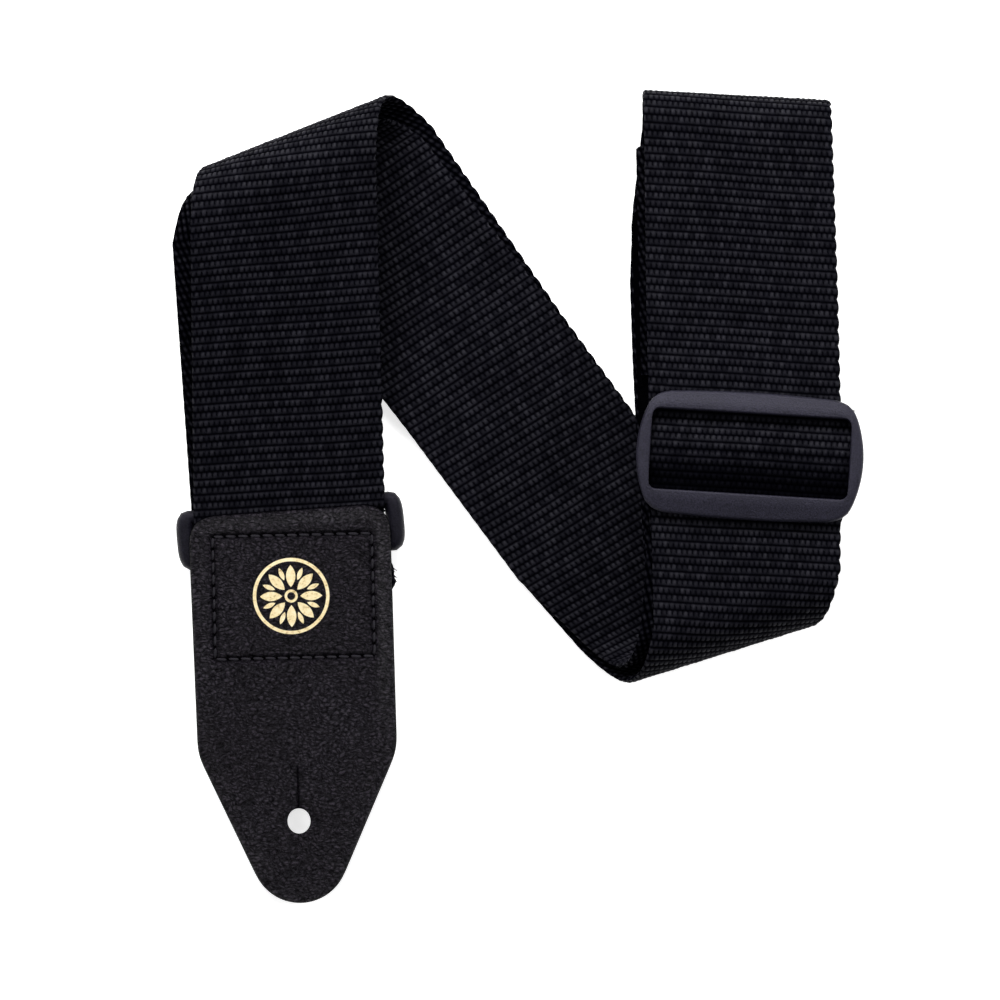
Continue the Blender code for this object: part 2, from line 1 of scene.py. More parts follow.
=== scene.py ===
"""Looks for a folded webbing guitar strap: woven webbing, leather ends, moulded slider and ring.

Lengths are millimetres until they reach a mesh. The table is z = 0.
"""

import json
import math

import bpy
import numpy as np
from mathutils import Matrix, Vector, noise
from mathutils.geometry import delaunay_2d_cdt

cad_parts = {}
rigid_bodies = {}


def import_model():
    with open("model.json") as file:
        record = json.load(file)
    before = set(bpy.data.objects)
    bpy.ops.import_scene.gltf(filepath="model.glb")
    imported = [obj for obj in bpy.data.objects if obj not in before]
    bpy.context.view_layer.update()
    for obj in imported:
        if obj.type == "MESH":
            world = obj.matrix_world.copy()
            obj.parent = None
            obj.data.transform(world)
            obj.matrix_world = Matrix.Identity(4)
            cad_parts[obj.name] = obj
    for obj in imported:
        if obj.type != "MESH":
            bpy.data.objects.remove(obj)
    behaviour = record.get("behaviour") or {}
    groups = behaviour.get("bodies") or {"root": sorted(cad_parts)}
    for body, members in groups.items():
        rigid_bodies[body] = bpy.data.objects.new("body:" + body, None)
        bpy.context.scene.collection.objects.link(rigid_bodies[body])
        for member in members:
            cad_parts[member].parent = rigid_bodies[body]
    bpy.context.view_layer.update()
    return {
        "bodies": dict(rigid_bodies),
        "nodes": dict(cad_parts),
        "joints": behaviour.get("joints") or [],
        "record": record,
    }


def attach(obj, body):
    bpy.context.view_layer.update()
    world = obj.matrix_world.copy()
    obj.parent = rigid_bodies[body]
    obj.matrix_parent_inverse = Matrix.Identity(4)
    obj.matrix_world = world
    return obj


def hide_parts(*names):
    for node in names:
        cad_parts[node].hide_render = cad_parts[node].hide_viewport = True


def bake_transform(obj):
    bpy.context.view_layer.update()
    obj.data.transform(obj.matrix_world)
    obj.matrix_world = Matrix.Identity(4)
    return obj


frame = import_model()

MM = 0.001
# The table point under the middle of the folded outline, which is the origin of every mesh
HOME = (4.7, 0.83, 0.0)

# Webbing
WEB_WIDTH = 50.8
WEB_THICK = 1.6
HALF_WEB = WEB_WIDTH / 2
HALF_THICK = WEB_THICK / 2
PLY_GAP = 0.3

# The diagonal run lies flat on the table. DIAG_ANGLE is from -Y towards +X.
DIAG_ANGLE = 36.4
DIAG_LOW_Z = HALF_THICK
DIAG_HIGH_Z = DIAG_LOW_Z + WEB_THICK + PLY_GAP
DIAG_LOW_MID = 16.9
DIAG_HIGH_MID = 16.7
DIAG_DRIFT = 0.2
DIAG_STOPS = (20.0, -30.0)

# Fold 1, top left: the strap turns up and back over itself into the left leg.
FOLD1_ANGLE = 21.5
FOLD1_OUT_DIST = 99.7
FOLD1_IN_DIST = 97.2
FOLD1_OUT_R = 10.9
FOLD1_IN_R = 8.7
FOLD1_RISE = 12.5
FOLD1_OUT_BOTTOM = (-33.8, 19.4)
FOLD1_OUT_TOP = (-50.0, 2.8)
FOLD1_IN_BOTTOM = (-37.2, 16.1)
FOLD1_IN_TOP = (-56.0, -2.8)

# Fold 2, bottom right: the strap turns up and over into the right leg.
FOLD2_ANGLE = 17.0
FOLD2_OUT_DIST = 44.5
FOLD2_IN_DIST = 43.2
FOLD2_OUT_BOTTOM = (8.9, 60.3)
FOLD2_IN_BOTTOM = (10.2, 60.2)
FOLD2_OUT_TOP = (-25.4, 24.3)

# Right leg frame: origin under the slider, v up the leg, h across it.
LEG_ORIGIN = (65.2, 11.5, 4.7)
LEG_LEAN = 1.3
LEG_SLOPE = 2.6
LEG_FRONT_MID = 16.9
LEG_INNER_MID = 12.8
LEG_INNER_END = -14.5
LEG_INNER_SHIFT = -3.4
LEG_STOPS = (40.0, 10.0)

# Fold at the top of the right leg, and the three passes of the tail behind it.
TOP_FOLD_V = 87.2
TOP_FOLD_TILT = -4.4
TOP_HALF = 24.9
TOP_SHIFT = 0.3
TAIL_MIDS = (0.8, 3.2, 8.2)
TAIL_TURN_TOP_V = 80.0
TAIL_TURN_LOW_V = -32.0
TAIL_END_V = 22.0
TAIL_HIGH_STOP = 50.0
TAIL_MID_STOP = 24.0
TAIL_SHIFT = -1.7
TAIL_LOW_STOPS = (4.0, 27.0, 47.0, 66.0)
TAIL_LOW_SHIFTS = (-3.3, -3.9, -4.1, -3.0)
LEATHER_B_SHIFT = -1.4
LEATHER_B_TIP_V = -35.5

# Rectangular ring of round bar
RING_ANGLE = 5.5
RING_CENTRE = (-55.8, -8.2)
RING_WIDTH = 59.8
RING_HEIGHT = 15.6
RING_BAR_R = 1.9
RING_BAR_HALF = 26.0
RING_SQUARENESS = 0.6
RING_Z = 4.2
LOOP_PLAY = 0.35
LOOP_R = RING_BAR_R + LOOP_PLAY + HALF_THICK
RING_FRONT_SHIFT = 0.2
RING_BACK_SHIFT = -0.4
RING_LOOP_SPREAD = 0.05
RING_LOOP_ANGLES = (190.0, -12.0)

# Leather ends
LEATHER_THICK = 3.0
LEATHER_B_THICK = 2.8
LEATHER_TOP = -11.95
LEATHER_TIP = 93.25
LEATHER_HALF_TOP = 26.8
LEATHER_HALF_SHOULDER = 26.5
LEATHER_SHOULDER = 49.75
LEATHER_CORNER_R = 6.5
LEATHER_SHOULDER_R = 14.0
LEATHER_TOP_SKEW = 2.9
LEATHER_TOP_SHIFT = -0.8
LEATHER_SKEW_END = 14.25
LEATHER_LEAN = 1.35
LEATHER_SLOPE = 4.9
TIP_RADIUS = 12.8
HOLE_Y = 71.25
HOLE_R = 3.1
HOLE_STRETCH = 1.12
SLIT_LENGTH = 11.5
SLIT_WIDTH = 0.6
SLIT_CORNER_R = 0.25
BOX_HALF = 21.2
BOX_TOP = -5.35
BOX_BOTTOM = 27.45
BOX_CORNER_R = 1.2
GROOVE_WIDTH = 1.3
GROOVE_DEPTH = 0.9
THREAD_R = 0.3
THREAD_GAP = 0.15
THREAD_SIDES = 8
KEEPER_THREAD_TOP = 8.0
RIM_CHAMFER = 0.6

# Keeper webbing
KEEPER_END = 38.25
KEEPER_SHIFT = 0.1
KEEPER_SHIFT_LOW = 1.8
KEEPER_RAMP = 16.0
KEEPER_FLAT = 12.0
KEEPER_STEP = 8.0
KEEPER_BACK_SHORT = 2.0

# Slider
SLIDER_WIDTH = 60.4
SLIDER_HEIGHT = 33.9
SLIDER_TILT = -4.8
SLIDER_H = 1.1
SLIDER_V = -0.8
SLIDER_Z0 = 18.0
SLIDER_THICK = 3.6
WINDOW_WIDTH = 53.0
WINDOW_HEIGHT = 21.4
WINDOW_SHIFT = 0.6
WINDOW_CORNER_R = 2.0
END_BOW = 4.3
END_CORNER = 3.2
END_CORNER_POWER = 14
END_STEPS = 18
SIDE_BOW = 0.8
SIDE_STEPS = 10
SLIDER_CHAMFER = 0.7
BAR_Z = 12.8
BAR_THICK = 2.2
BAR_HALF_DEPTH = 2.8
LUG_HALF_DEPTH = 3.4
LUG_INNER = 27.1
LUG_INSET = 0.8
LUG_CORNER_R = 1.0
LUG_DROP = 0.2
LUG_BITE = 1.5
BAR_BITE = 1.2
SLIDER_LOOP_R = 2.2
SLIDER_LOOP_V = 2.1
LOOP_OVER_END = -17.0
LOOP_UNDER_END = -15.5

FOLD_STEPS = 48
TURN_STEPS = 26
RING_SIDES = 20
RING_END_STEPS = 20
HOLE_STEPS = 32
CUT_REACH = 3.0
UP = np.array((0.0, 0.0, 1.0))



def flat_dir(degrees):
    angle = math.radians(degrees)
    return np.array((math.cos(angle), math.sin(angle), 0.0))


def lerp(a, b, t):
    return a + (b - a) * t


class Frame:
    """A rigid frame: origin, across (x), along (y) and face normal (z)."""

    def __init__(self, origin, across, along):
        self.origin = np.array(origin, float)
        self.across = across / np.linalg.norm(across)
        self.along = along / np.linalg.norm(along)
        normal = np.cross(self.across, self.along)
        self.normal = normal if normal[2] > 0 else -normal

    def at(self, x, y, z):
        return self.origin + x * self.across + y * self.along + z * self.normal


def diagonal_frame():
    along = flat_dir(DIAG_ANGLE - 90.0)
    return Frame((0.0, 0.0, 0.0), flat_dir(DIAG_ANGLE), along)


def leg_frame():
    slope = math.radians(LEG_SLOPE)
    along = flat_dir(90.0 + LEG_LEAN) * math.cos(slope) - UP * math.sin(slope)
    return Frame(LEG_ORIGIN, flat_dir(LEG_LEAN), along)


def ring_centre(side):
    """The middle of the ring's strap bar (side 1) or keeper bar (side -1)."""
    reach = side * (RING_HEIGHT / 2 - RING_BAR_R)
    centre = np.array((RING_CENTRE[0], RING_CENTRE[1], RING_Z))
    return centre + reach * flat_dir(90.0 + RING_ANGLE)


def tab_frame():
    """Leather end A: y runs from the ring to the tip, z = 0 is the back of the leather."""
    slope = math.radians(LEATHER_SLOPE)
    along = flat_dir(LEATHER_LEAN - 90.0) * math.cos(slope) - UP * math.sin(slope)
    frame = Frame((0.0, 0.0, 0.0), flat_dir(LEATHER_LEAN), along)
    rise = RING_BAR_R + LOOP_PLAY + WEB_THICK + PLY_GAP
    frame.origin = ring_centre(-1) + rise * frame.normal
    return frame


def slider_frame():
    leg = leg_frame()
    tilt = math.radians(SLIDER_TILT)
    across = leg.across * math.cos(tilt) + leg.along * math.sin(tilt)
    along = leg.along * math.cos(tilt) - leg.across * math.sin(tilt)
    return Frame(leg.at(SLIDER_H, SLIDER_V, 0.0), across, along)


def bend(axis_point, axis, outward, left, right, angles, steps):
    """Stations round a bend. left and right are ((radius, centre height) and (a0, a1)).

    The angle is 0 at the bottom of the bend, 90 at its outermost and 180 at its top.
    """
    stations = []
    for i in range(steps + 1):
        t = i / steps
        angle = math.radians(lerp(angles[0], angles[1], t))
        pair = []
        for (radius, height), (a0, a1) in (left, right):
            point = axis_point + axis * lerp(a0, a1, t) + UP * height
            point = point + radius * (math.sin(angle) * outward - math.cos(angle) * UP)
            pair.append(point)
        stations.append(pair)
    return stations


def turn(frame, centre, radius, angles, left, right, tilt=0.0, way=1.0, steps=TURN_STEPS):
    """Stations round a turn in a rigid frame; centre is (y, z) and way is which y is outward."""
    lean = math.radians(tilt)
    stations = []
    for i in range(steps + 1):
        t = i / steps
        angle = math.radians(lerp(angles[0], angles[1], t))
        out = way * radius * math.sin(angle)
        height = centre[1] - radius * math.cos(angle)
        pair = []
        for a0, a1 in (left, right):
            x = lerp(a0, a1, t)
            y = centre[0] + x * math.tan(lean) + out
            pair.append(frame.at(x, y, height))
        stations.append(pair)
    return stations


def run(frame, ys, z, mids, half=HALF_WEB):
    """Straight stations square across a frame, one for each y, with the middle of each."""
    return [
        [frame.at(mid - half, y, z), frame.at(mid + half, y, z)]
        for y, mid in zip(ys, mids)
    ]


def fold1(dist, radius, bottom_z, bottom, top, steps=FOLD_STEPS):
    """Fold 1 from the diagonal (bottom) up to the left leg (top)."""
    axis = flat_dir(FOLD1_ANGLE)
    outward = flat_dir(FOLD1_ANGLE + 90.0)
    round_it = (radius, bottom_z + radius)
    left = (round_it, (bottom[0], top[0]))
    right = (round_it, (bottom[1], top[1]))
    angles = (0.0, 180.0 + FOLD1_RISE)
    return bend(outward * dist, axis, outward, left, right, angles, steps)


def fold2(dist, bottom_z, bottom, leg_x, leg_z, steps=FOLD_STEPS):
    """Fold 2 from the diagonal (bottom) up to the right leg's plane (top)."""
    leg = leg_frame()
    axis = flat_dir(FOLD2_ANGLE)
    outward = flat_dir(FOLD2_ANGLE - 90.0)
    sides = []
    for a_bottom, x in zip(bottom, leg_x):
        base = leg.at(x, 0.0, leg_z)
        y = (dist - base @ outward) / (leg.along @ outward)
        end = leg.at(x, y, leg_z)
        radius = (end[2] - bottom_z) / 2
        sides.append(((radius, bottom_z + radius), (a_bottom, float(end @ axis))))
    return bend(outward * dist, axis, outward, sides[0], sides[1], (0.0, 180.0), steps)


def tail_path():
    """The hidden tail behind the right leg: three passes, from the cut end up to the top fold."""
    leg = leg_frame()
    low, mid, high = TAIL_MIDS
    left = (TAIL_SHIFT - HALF_WEB,) * 2
    right = (TAIL_SHIFT + HALF_WEB,) * 2
    path = run(leg, (TAIL_END_V, TAIL_HIGH_STOP), high, (TAIL_SHIFT,) * 2)
    centre = (TAIL_TURN_TOP_V, (mid + high) / 2)
    path += turn(leg, centre, (high - mid) / 2, (180, 0), left, right)
    path += run(leg, (TAIL_MID_STOP,), mid, (TAIL_SHIFT,))
    centre = (TAIL_TURN_LOW_V, (low + mid) / 2)
    path += turn(leg, centre, (mid - low) / 2, (180, 0), left, right, way=-1.0)
    path += run(leg, TAIL_LOW_STOPS, low, TAIL_LOW_SHIFTS)
    return path


def top_fold():
    """The fold at the top of the right leg, from the tail's last pass to the front ply."""
    low = TAIL_MIDS[0]
    radius = (LEG_FRONT_MID - low) / 2
    left = (-TOP_HALF - TOP_SHIFT, -TOP_HALF)
    right = (TOP_HALF - TOP_SHIFT, TOP_HALF)
    centre = (TOP_FOLD_V, low + radius)
    return turn(leg_frame(), centre, radius, (0, 180), left, right, TOP_FOLD_TILT, steps=FOLD_STEPS)


def strap_path():
    """The long webbing, from its cut end at leather end B to its end near the slider."""
    leg = leg_frame()
    diag = diagonal_frame()
    path = tail_path() + top_fold()
    path += run(leg, LEG_STOPS, LEG_FRONT_MID, (0.0, 0.0))
    path += fold2(FOLD2_OUT_DIST, DIAG_LOW_Z, FOLD2_OUT_BOTTOM, FOLD2_OUT_TOP, LEG_FRONT_MID)[::-1]
    path += run(diag, DIAG_STOPS, DIAG_LOW_Z, (DIAG_LOW_MID, DIAG_LOW_MID + DIAG_DRIFT))
    path += fold1(FOLD1_OUT_DIST, FOLD1_OUT_R, DIAG_LOW_Z, FOLD1_OUT_BOTTOM, FOLD1_OUT_TOP)
    path += ring_loop()
    path += fold1(FOLD1_IN_DIST, FOLD1_IN_R, DIAG_HIGH_Z, FOLD1_IN_BOTTOM, FOLD1_IN_TOP)[::-1]
    path += run(diag, DIAG_STOPS[::-1], DIAG_HIGH_Z, (DIAG_HIGH_MID - DIAG_DRIFT, DIAG_HIGH_MID))
    inner = (LEG_INNER_SHIFT - HALF_WEB, LEG_INNER_SHIFT + HALF_WEB)
    path += fold2(FOLD2_IN_DIST, DIAG_HIGH_Z, FOLD2_IN_BOTTOM, inner, LEG_INNER_MID)
    path += run(leg, (LEG_INNER_END,), LEG_INNER_MID, (LEG_INNER_SHIFT,))
    return path


def ring_loop():
    """The strap's turn round the ring's upper bar, from the front ply to the back ply."""
    axis = flat_dir(RING_ANGLE)
    outward = flat_dir(RING_ANGLE - 90.0)
    reach = HALF_WEB + RING_LOOP_SPREAD
    left = ((LOOP_R, 0.0), (RING_FRONT_SHIFT - reach, RING_BACK_SHIFT - reach))
    right = ((LOOP_R, 0.0), (RING_FRONT_SHIFT + reach, RING_BACK_SHIFT + reach))
    return bend(ring_centre(1), axis, outward, left, right, RING_LOOP_ANGLES, TURN_STEPS + 2)


def keeper_path():
    """The keeper webbing: front ply under the leather, round the ring's lower bar, and back."""
    tab = tab_frame()
    front_z = -PLY_GAP - HALF_THICK
    bar_z = front_z - LOOP_R
    skew = RING_ANGLE - LEATHER_LEAN
    path = run(tab, (KEEPER_END, KEEPER_FLAT, KEEPER_STEP), front_z, (0.0, 0.0, KEEPER_SHIFT_LOW))
    left = (KEEPER_SHIFT - HALF_WEB,) * 2
    right = (KEEPER_SHIFT + HALF_WEB,) * 2
    path += turn(tab, (0.0, bar_z), LOOP_R, (180, 0), left, right, -skew, -1.0)
    low_z = front_z - WEB_THICK - PLY_GAP
    path += run(tab, (KEEPER_RAMP, KEEPER_END - KEEPER_BACK_SHORT), low_z, (0.0, 0.0))
    return path


def slider_loop_path():
    """The sewn loop round the slider's middle bar, open towards the fold."""
    slider = slider_frame()
    mid = 0.0
    over = BAR_Z + SLIDER_LOOP_R
    under = BAR_Z - SLIDER_LOOP_R
    path = run(slider, (LOOP_OVER_END,), over, (mid,))
    left = (mid - HALF_WEB,) * 2
    right = (mid + HALF_WEB,) * 2
    path += turn(slider, (SLIDER_LOOP_V, BAR_Z), SLIDER_LOOP_R, (180, 0), left, right)
    path += run(slider, (LOOP_UNDER_END,), under, (mid,))
    return path


def rounded_box(half_x, y0, y1, radius, steps=6):
    """Outline points of a rectangle with round corners, anticlockwise."""
    points = []
    corners = (
        (half_x - radius, y0 + radius, -90.0),
        (half_x - radius, y1 - radius, 0.0),
        (-half_x + radius, y1 - radius, 90.0),
        (-half_x + radius, y0 + radius, 180.0),
    )
    for cx, cy, start in corners:
        for i in range(steps + 1):
            angle = math.radians(start + 90.0 * i / steps)
            points.append((cx + radius * math.cos(angle), cy + radius * math.sin(angle)))
    return points


def leather_outline():
    """Outline of a leather end: square top, straight sides, round shoulders and a round tip."""
    tip_centre = LEATHER_TIP - TIP_RADIUS
    centre = LEATHER_HALF_SHOULDER - LEATHER_SHOULDER_R
    rise = tip_centre - LEATHER_SHOULDER
    difference = (LEATHER_SHOULDER_R - TIP_RADIUS) / math.hypot(centre, rise)
    taper = math.atan2(centre, rise) + math.asin(difference)
    right = []
    for degrees in range(0, 91, 15):
        angle = math.radians(degrees)
        x = LEATHER_HALF_TOP - LEATHER_CORNER_R * (1 - math.sin(angle))
        right.append((x, LEATHER_TOP + LEATHER_CORNER_R * (1 - math.cos(angle))))
    for i in range(6):
        angle = taper * i / 5
        x = centre + LEATHER_SHOULDER_R * math.cos(angle)
        right.append((x, LEATHER_SHOULDER + LEATHER_SHOULDER_R * math.sin(angle)))
    for i in range(9):
        angle = lerp(taper, math.pi / 2, i / 8)
        x = TIP_RADIUS * math.cos(angle)
        right.append((x, tip_centre + TIP_RADIUS * math.sin(angle)))
    left = [(-x, y) for x, y in right[-2::-1]]
    skew = math.tan(math.radians(LEATHER_TOP_SKEW))
    points = []
    for x, y in right + left:
        share = (LEATHER_SKEW_END - y) / (LEATHER_SKEW_END - LEATHER_TOP)
        share = max(0.0, min(1.0, share))
        points.append((x + LEATHER_TOP_SHIFT * share, y - x * skew * share))
    return points


def end_bow(share):
    """How far the slider's end falls in at a share (-1 to 1) of its height."""
    return END_BOW * share * share + END_CORNER * abs(share) ** END_CORNER_POWER


def tab_b_frame():
    """Leather end B lies face down in the tail; its back touches the webbing's last pass."""
    leg = leg_frame()
    frame = Frame((0.0, 0.0, 0.0), leg.across, -leg.along)
    frame.normal = -leg.normal
    top = TAIL_MIDS[2] - HALF_THICK - PLY_GAP
    frame.origin = leg.at(LEATHER_B_SHIFT, LEATHER_TIP + LEATHER_B_TIP_V, top)
    return frame


def with_stop(points, y_stop):
    """The closed outline with a point added wherever a side crosses y_stop."""
    result = []
    for (ax, ay), (bx, by) in zip(points, points[1:] + points[:1]):
        result.append((ax, ay))
        if (ay - y_stop) * (by - y_stop) < 0:
            result.append((lerp(ax, bx, (y_stop - ay) / (by - ay)), y_stop))
    return result




# ---------------------------------------------------------------------------------------------
# Webbing weave
ROW_PITCH = 2.05
WARPS = 35
WARP_PITCH = WEB_WIDTH / WARPS
WEAVE_DEPTH = 0.42
WEAVE_SINK = 0.26
EDGE_ROUND = 0.9
SCALLOP = 0.5
SCALLOP_PITCH = 4.1
FLOAT_LEAN = 0.16
FINE = 4
COARSE = 2
SMALL = 1e-9
RNG = np.random.default_rng(11)


def drift(along, across):
    """A slow, smooth unevenness in the range -1 to 1, in millimetres along and across."""
    value = np.sin(along / 7.3 + 0.8 * np.sin(across / 9.1))
    value = value + np.sin(along / 17.9 + across / 21.3 + 1.7)
    return (value + np.sin(across / 5.7 - along / 31.0 + 0.4)) / 3.0


def grid_faces(rows, cols, flip, wrap_rows=False, wrap_cols=False):
    """Quads of a grid of vertices, rows by columns."""
    index = np.arange(rows * cols).reshape(rows, cols)
    if wrap_rows:
        index = np.vstack((index, index[:1]))
    if wrap_cols:
        index = np.hstack((index, index[:, :1]))
    quads = np.stack((index[:-1, :-1], index[:-1, 1:], index[1:, 1:], index[1:, :-1]), -1)
    quads = quads.reshape(-1, 4)
    return quads[:, ::-1] if flip else quads


class Ribbon:
    """A strip of webbing along stations, sampled by arc length."""

    def __init__(self, stations, skew=((0.0, 1.0), (0.0, 0.0))):
        self.edges = np.array(stations, float)
        self.skew = skew
        ruling = self.edges[:, 1] - self.edges[:, 0]
        self.length = []
        self.normal = []
        for side in (0, 1):
            line = self.edges[:, side]
            steps = np.linalg.norm(np.diff(line, axis=0), axis=1)
            self.length.append(np.concatenate(([0.0], np.cumsum(steps))))
            normal = np.cross(np.gradient(line, axis=0), ruling)
            self.normal.append(normal / np.linalg.norm(normal, axis=1)[:, None])
        self.total = (self.length[0][-1] + self.length[1][-1]) / 2
        self.rows = max(4, round(self.total / ROW_PITCH))

    def share_at(self, station):
        """How far along the strip a station is, from 0 to 1."""
        both = [self.length[side][station] / self.length[side][-1] for side in (0, 1)]
        return sum(both) / 2

    def sample(self, shares, w):
        """Centre points and normals at the shares along the strip, at w across it (arrays)."""
        points = np.empty((len(shares), len(w), 3))
        normals = np.empty_like(points)
        for k, at in enumerate(w):
            length = lerp(self.length[0], self.length[1], at)
            here = shares[:, k] if shares.ndim == 2 else shares
            line = lerp(self.edges[:, 0], self.edges[:, 1], at)
            normal = lerp(self.normal[0], self.normal[1], at)
            for axis in range(3):
                points[:, k, axis] = np.interp(here, length / length[-1], line[:, axis])
                normals[:, k, axis] = np.interp(here, length / length[-1], normal[:, axis])
        normals /= np.linalg.norm(normals, axis=2)[:, :, None] + SMALL
        return points, normals


def weave_height(row, column, face):
    """Height, 0 to 1, of the warp floats at a place counted in rows and warps."""
    whole = np.floor(row + 0.5)
    in_row = 2 * (row - whole)
    shift = 0.5 * ((whole + (face < 0)) % 2) + FLOAT_LEAN * in_row
    brick = np.floor(column + shift)
    in_warp = np.abs(2 * (column + shift - brick) - 1)
    chance = np.modf(np.abs(np.sin(whole * 12.9898 + brick * 78.233) * 43758.5453))[0]
    taper = 1 + 0.32 * np.clip(in_row, -1, 1) * (1 - 2 * (whole % 2))
    height = np.clip(1 - np.abs(in_row) ** 2.2, 0, 1) ** 0.6
    height = height * np.clip(1 - (in_warp * taper) ** 2.2, 0, 1) ** 0.6
    return height * (0.68 + 0.32 * chance), chance


def web_sheet(ribbon, face, share0, share1, per, scallop_side=1, depth=WEAVE_DEPTH, extra=None):
    """One woven face of a ribbon between two shares: points, quads, heights and (across, along)."""
    first = round(share0 * ribbon.rows * per)
    last = round(share1 * ribbon.rows * per)
    steps = np.arange(first, last + 1)
    columns = np.arange(WARPS * per + 1) / per
    w = columns / WARPS
    row_number = (steps / per)[:, None] + 0 * columns[None, :]
    along = row_number * ribbon.total / ribbon.rows
    across = 0 * row_number + columns[None, :] * WARP_PITCH
    inner = np.sin(np.pi * np.clip(row_number / ribbon.rows, 0, 1)) > 0.004
    lean = np.interp(along / ribbon.total, *ribbon.skew) * (columns / WARPS - 0.5)[None, :]
    shares = np.clip((along + lean + 0.22 * drift(along, across) * inner) / ribbon.total, 0, 1)
    points, normals = ribbon.sample(shares, w)
    height, chance = weave_height(row_number, 0 * row_number + columns[None, :], face)
    from_edge = np.minimum(across, WEB_WIDTH - across)
    rim = np.clip(1 - from_edge / EDGE_ROUND, 0, 1)
    half = HALF_THICK * np.sqrt(1 - rim**2)
    lift = half + (depth * height - WEAVE_SINK) * (1 - rim)
    if extra is not None:
        lift = lift + extra(along, across)
    side = np.zeros_like(points)
    side[:, 1:-1] = points[:, 2:] - points[:, :-2]
    side[:, 0] = points[:, 1] - points[:, 0]
    side[:, -1] = points[:, -1] - points[:, -2]
    side /= np.linalg.norm(side, axis=2)[:, :, None] + SMALL
    wave = np.abs(np.cos(np.pi * along / SCALLOP_PITCH)) ** 0.7 - 0.45
    far = across > WEB_WIDTH / 2 if scallop_side else across < WEB_WIDTH / 2
    outward = np.where(across > WEB_WIDTH / 2, 1.0, -1.0)
    push = np.clip(1 - from_edge / 1.6, 0, 1) ** 0.7 * np.where(far, SCALLOP * wave, 0.1 * wave)
    out = points + normals * (face * lift)[:, :, None] + side * (outward * push)[:, :, None]
    quads = grid_faces(len(steps), len(columns), face < 0)
    # The tone follows the weave's height; the material paints low tone near black: painted shade in the
    # valleys between the yarns.
    tone = height * (0.8 + 0.2 * chance)
    place = np.stack((across, along), -1)
    return out.reshape(-1, 3), quads, tone.reshape(-1), place.reshape(-1, 2)


def join(parts):
    """One set of points, quads, tones and places from several."""
    points, faces, tones, places = [], [], [], []
    count = 0
    for part in parts:
        points.append(part[0])
        faces.append(part[1] + count)
        tones.append(part[2])
        places.append(part[3])
        count += len(part[0])
    return np.vstack(points), np.vstack(faces), np.concatenate(tones), np.vstack(places)


def end_cap(part_up, part_down, per, at_start):
    """Quads that close a cut end, between the last rows of the two faces."""
    cols = WARPS * per + 1
    up = np.arange(cols) if at_start else np.arange(len(part_up[0]) - cols, len(part_up[0]))
    down = np.arange(cols) if at_start else np.arange(len(part_down[0]) - cols, len(part_down[0]))
    points = np.vstack((part_up[0][up], part_down[0][down]))
    quads = grid_faces(2, cols, not at_start)
    tones = np.concatenate((part_up[2][up], part_down[2][down])) * 0.4
    places = np.vstack((part_up[3][up], part_down[3][down]))
    return points, quads, tones, places


def plain_mesh(name, points, faces, material, smooth=True):
    """A mesh object from millimetre points and faces of one size."""
    mesh = bpy.data.meshes.new(name)
    co = (np.asarray(points, float) - HOME) * MM
    faces = np.ascontiguousarray(faces, np.int32)
    size = faces.shape[1]
    mesh.vertices.add(len(co))
    mesh.vertices.foreach_set("co", co.astype(np.float32).ravel())
    mesh.loops.add(faces.size)
    mesh.loops.foreach_set("vertex_index", faces.ravel())
    mesh.polygons.add(len(faces))
    mesh.polygons.foreach_set("loop_start", np.arange(0, faces.size, size, dtype=np.int32))
    mesh.polygons.foreach_set("loop_total", np.full(len(faces), size, np.int32))
    mesh.update(calc_edges=True)
    mesh.validate()
    mesh.polygons.foreach_set("use_smooth", np.full(len(mesh.polygons), smooth))
    mesh.materials.append(material)
    obj = bpy.data.objects.new(name, mesh)
    bpy.context.scene.collection.objects.link(obj)
    return obj


def store(obj, tones, places):
    """Keeps the weave's height and its place across and along the strip for the material."""
    mesh = obj.data
    tone = mesh.attributes.new("tone", "FLOAT", "POINT")
    tone.data.foreach_set("value", np.asarray(tones, np.float32))
    place = mesh.attributes.new("place", "FLOAT_VECTOR", "POINT")
    vector = np.zeros((len(places), 3), np.float32)
    vector[:, :2] = places
    place.data.foreach_set("vector", vector.ravel())
    return obj


def web_object(name, ribbon, upper, lower, material, ends=(COARSE, COARSE), shade=None):
    """A strip of webbing. upper and lower list (share0, share1, samples per yarn) of each face."""
    up = [web_sheet(ribbon, 1, *span) for span in upper]
    down = [web_sheet(ribbon, -1, *span) for span in lower]
    parts = up + down
    if ends[0]:
        parts.append(end_cap(up[0], down[0], ends[0], True))
    if ends[1]:
        parts.append(end_cap(up[-1], down[-1], ends[1], False))
    points, faces, tones, places = join(parts)
    if shade is not None:
        tones = tones * shade(places[:, 1])
    return store(plain_mesh(name, points, faces, material), tones, places)


# ---------------------------------------------------------------------------------------------
# Materials


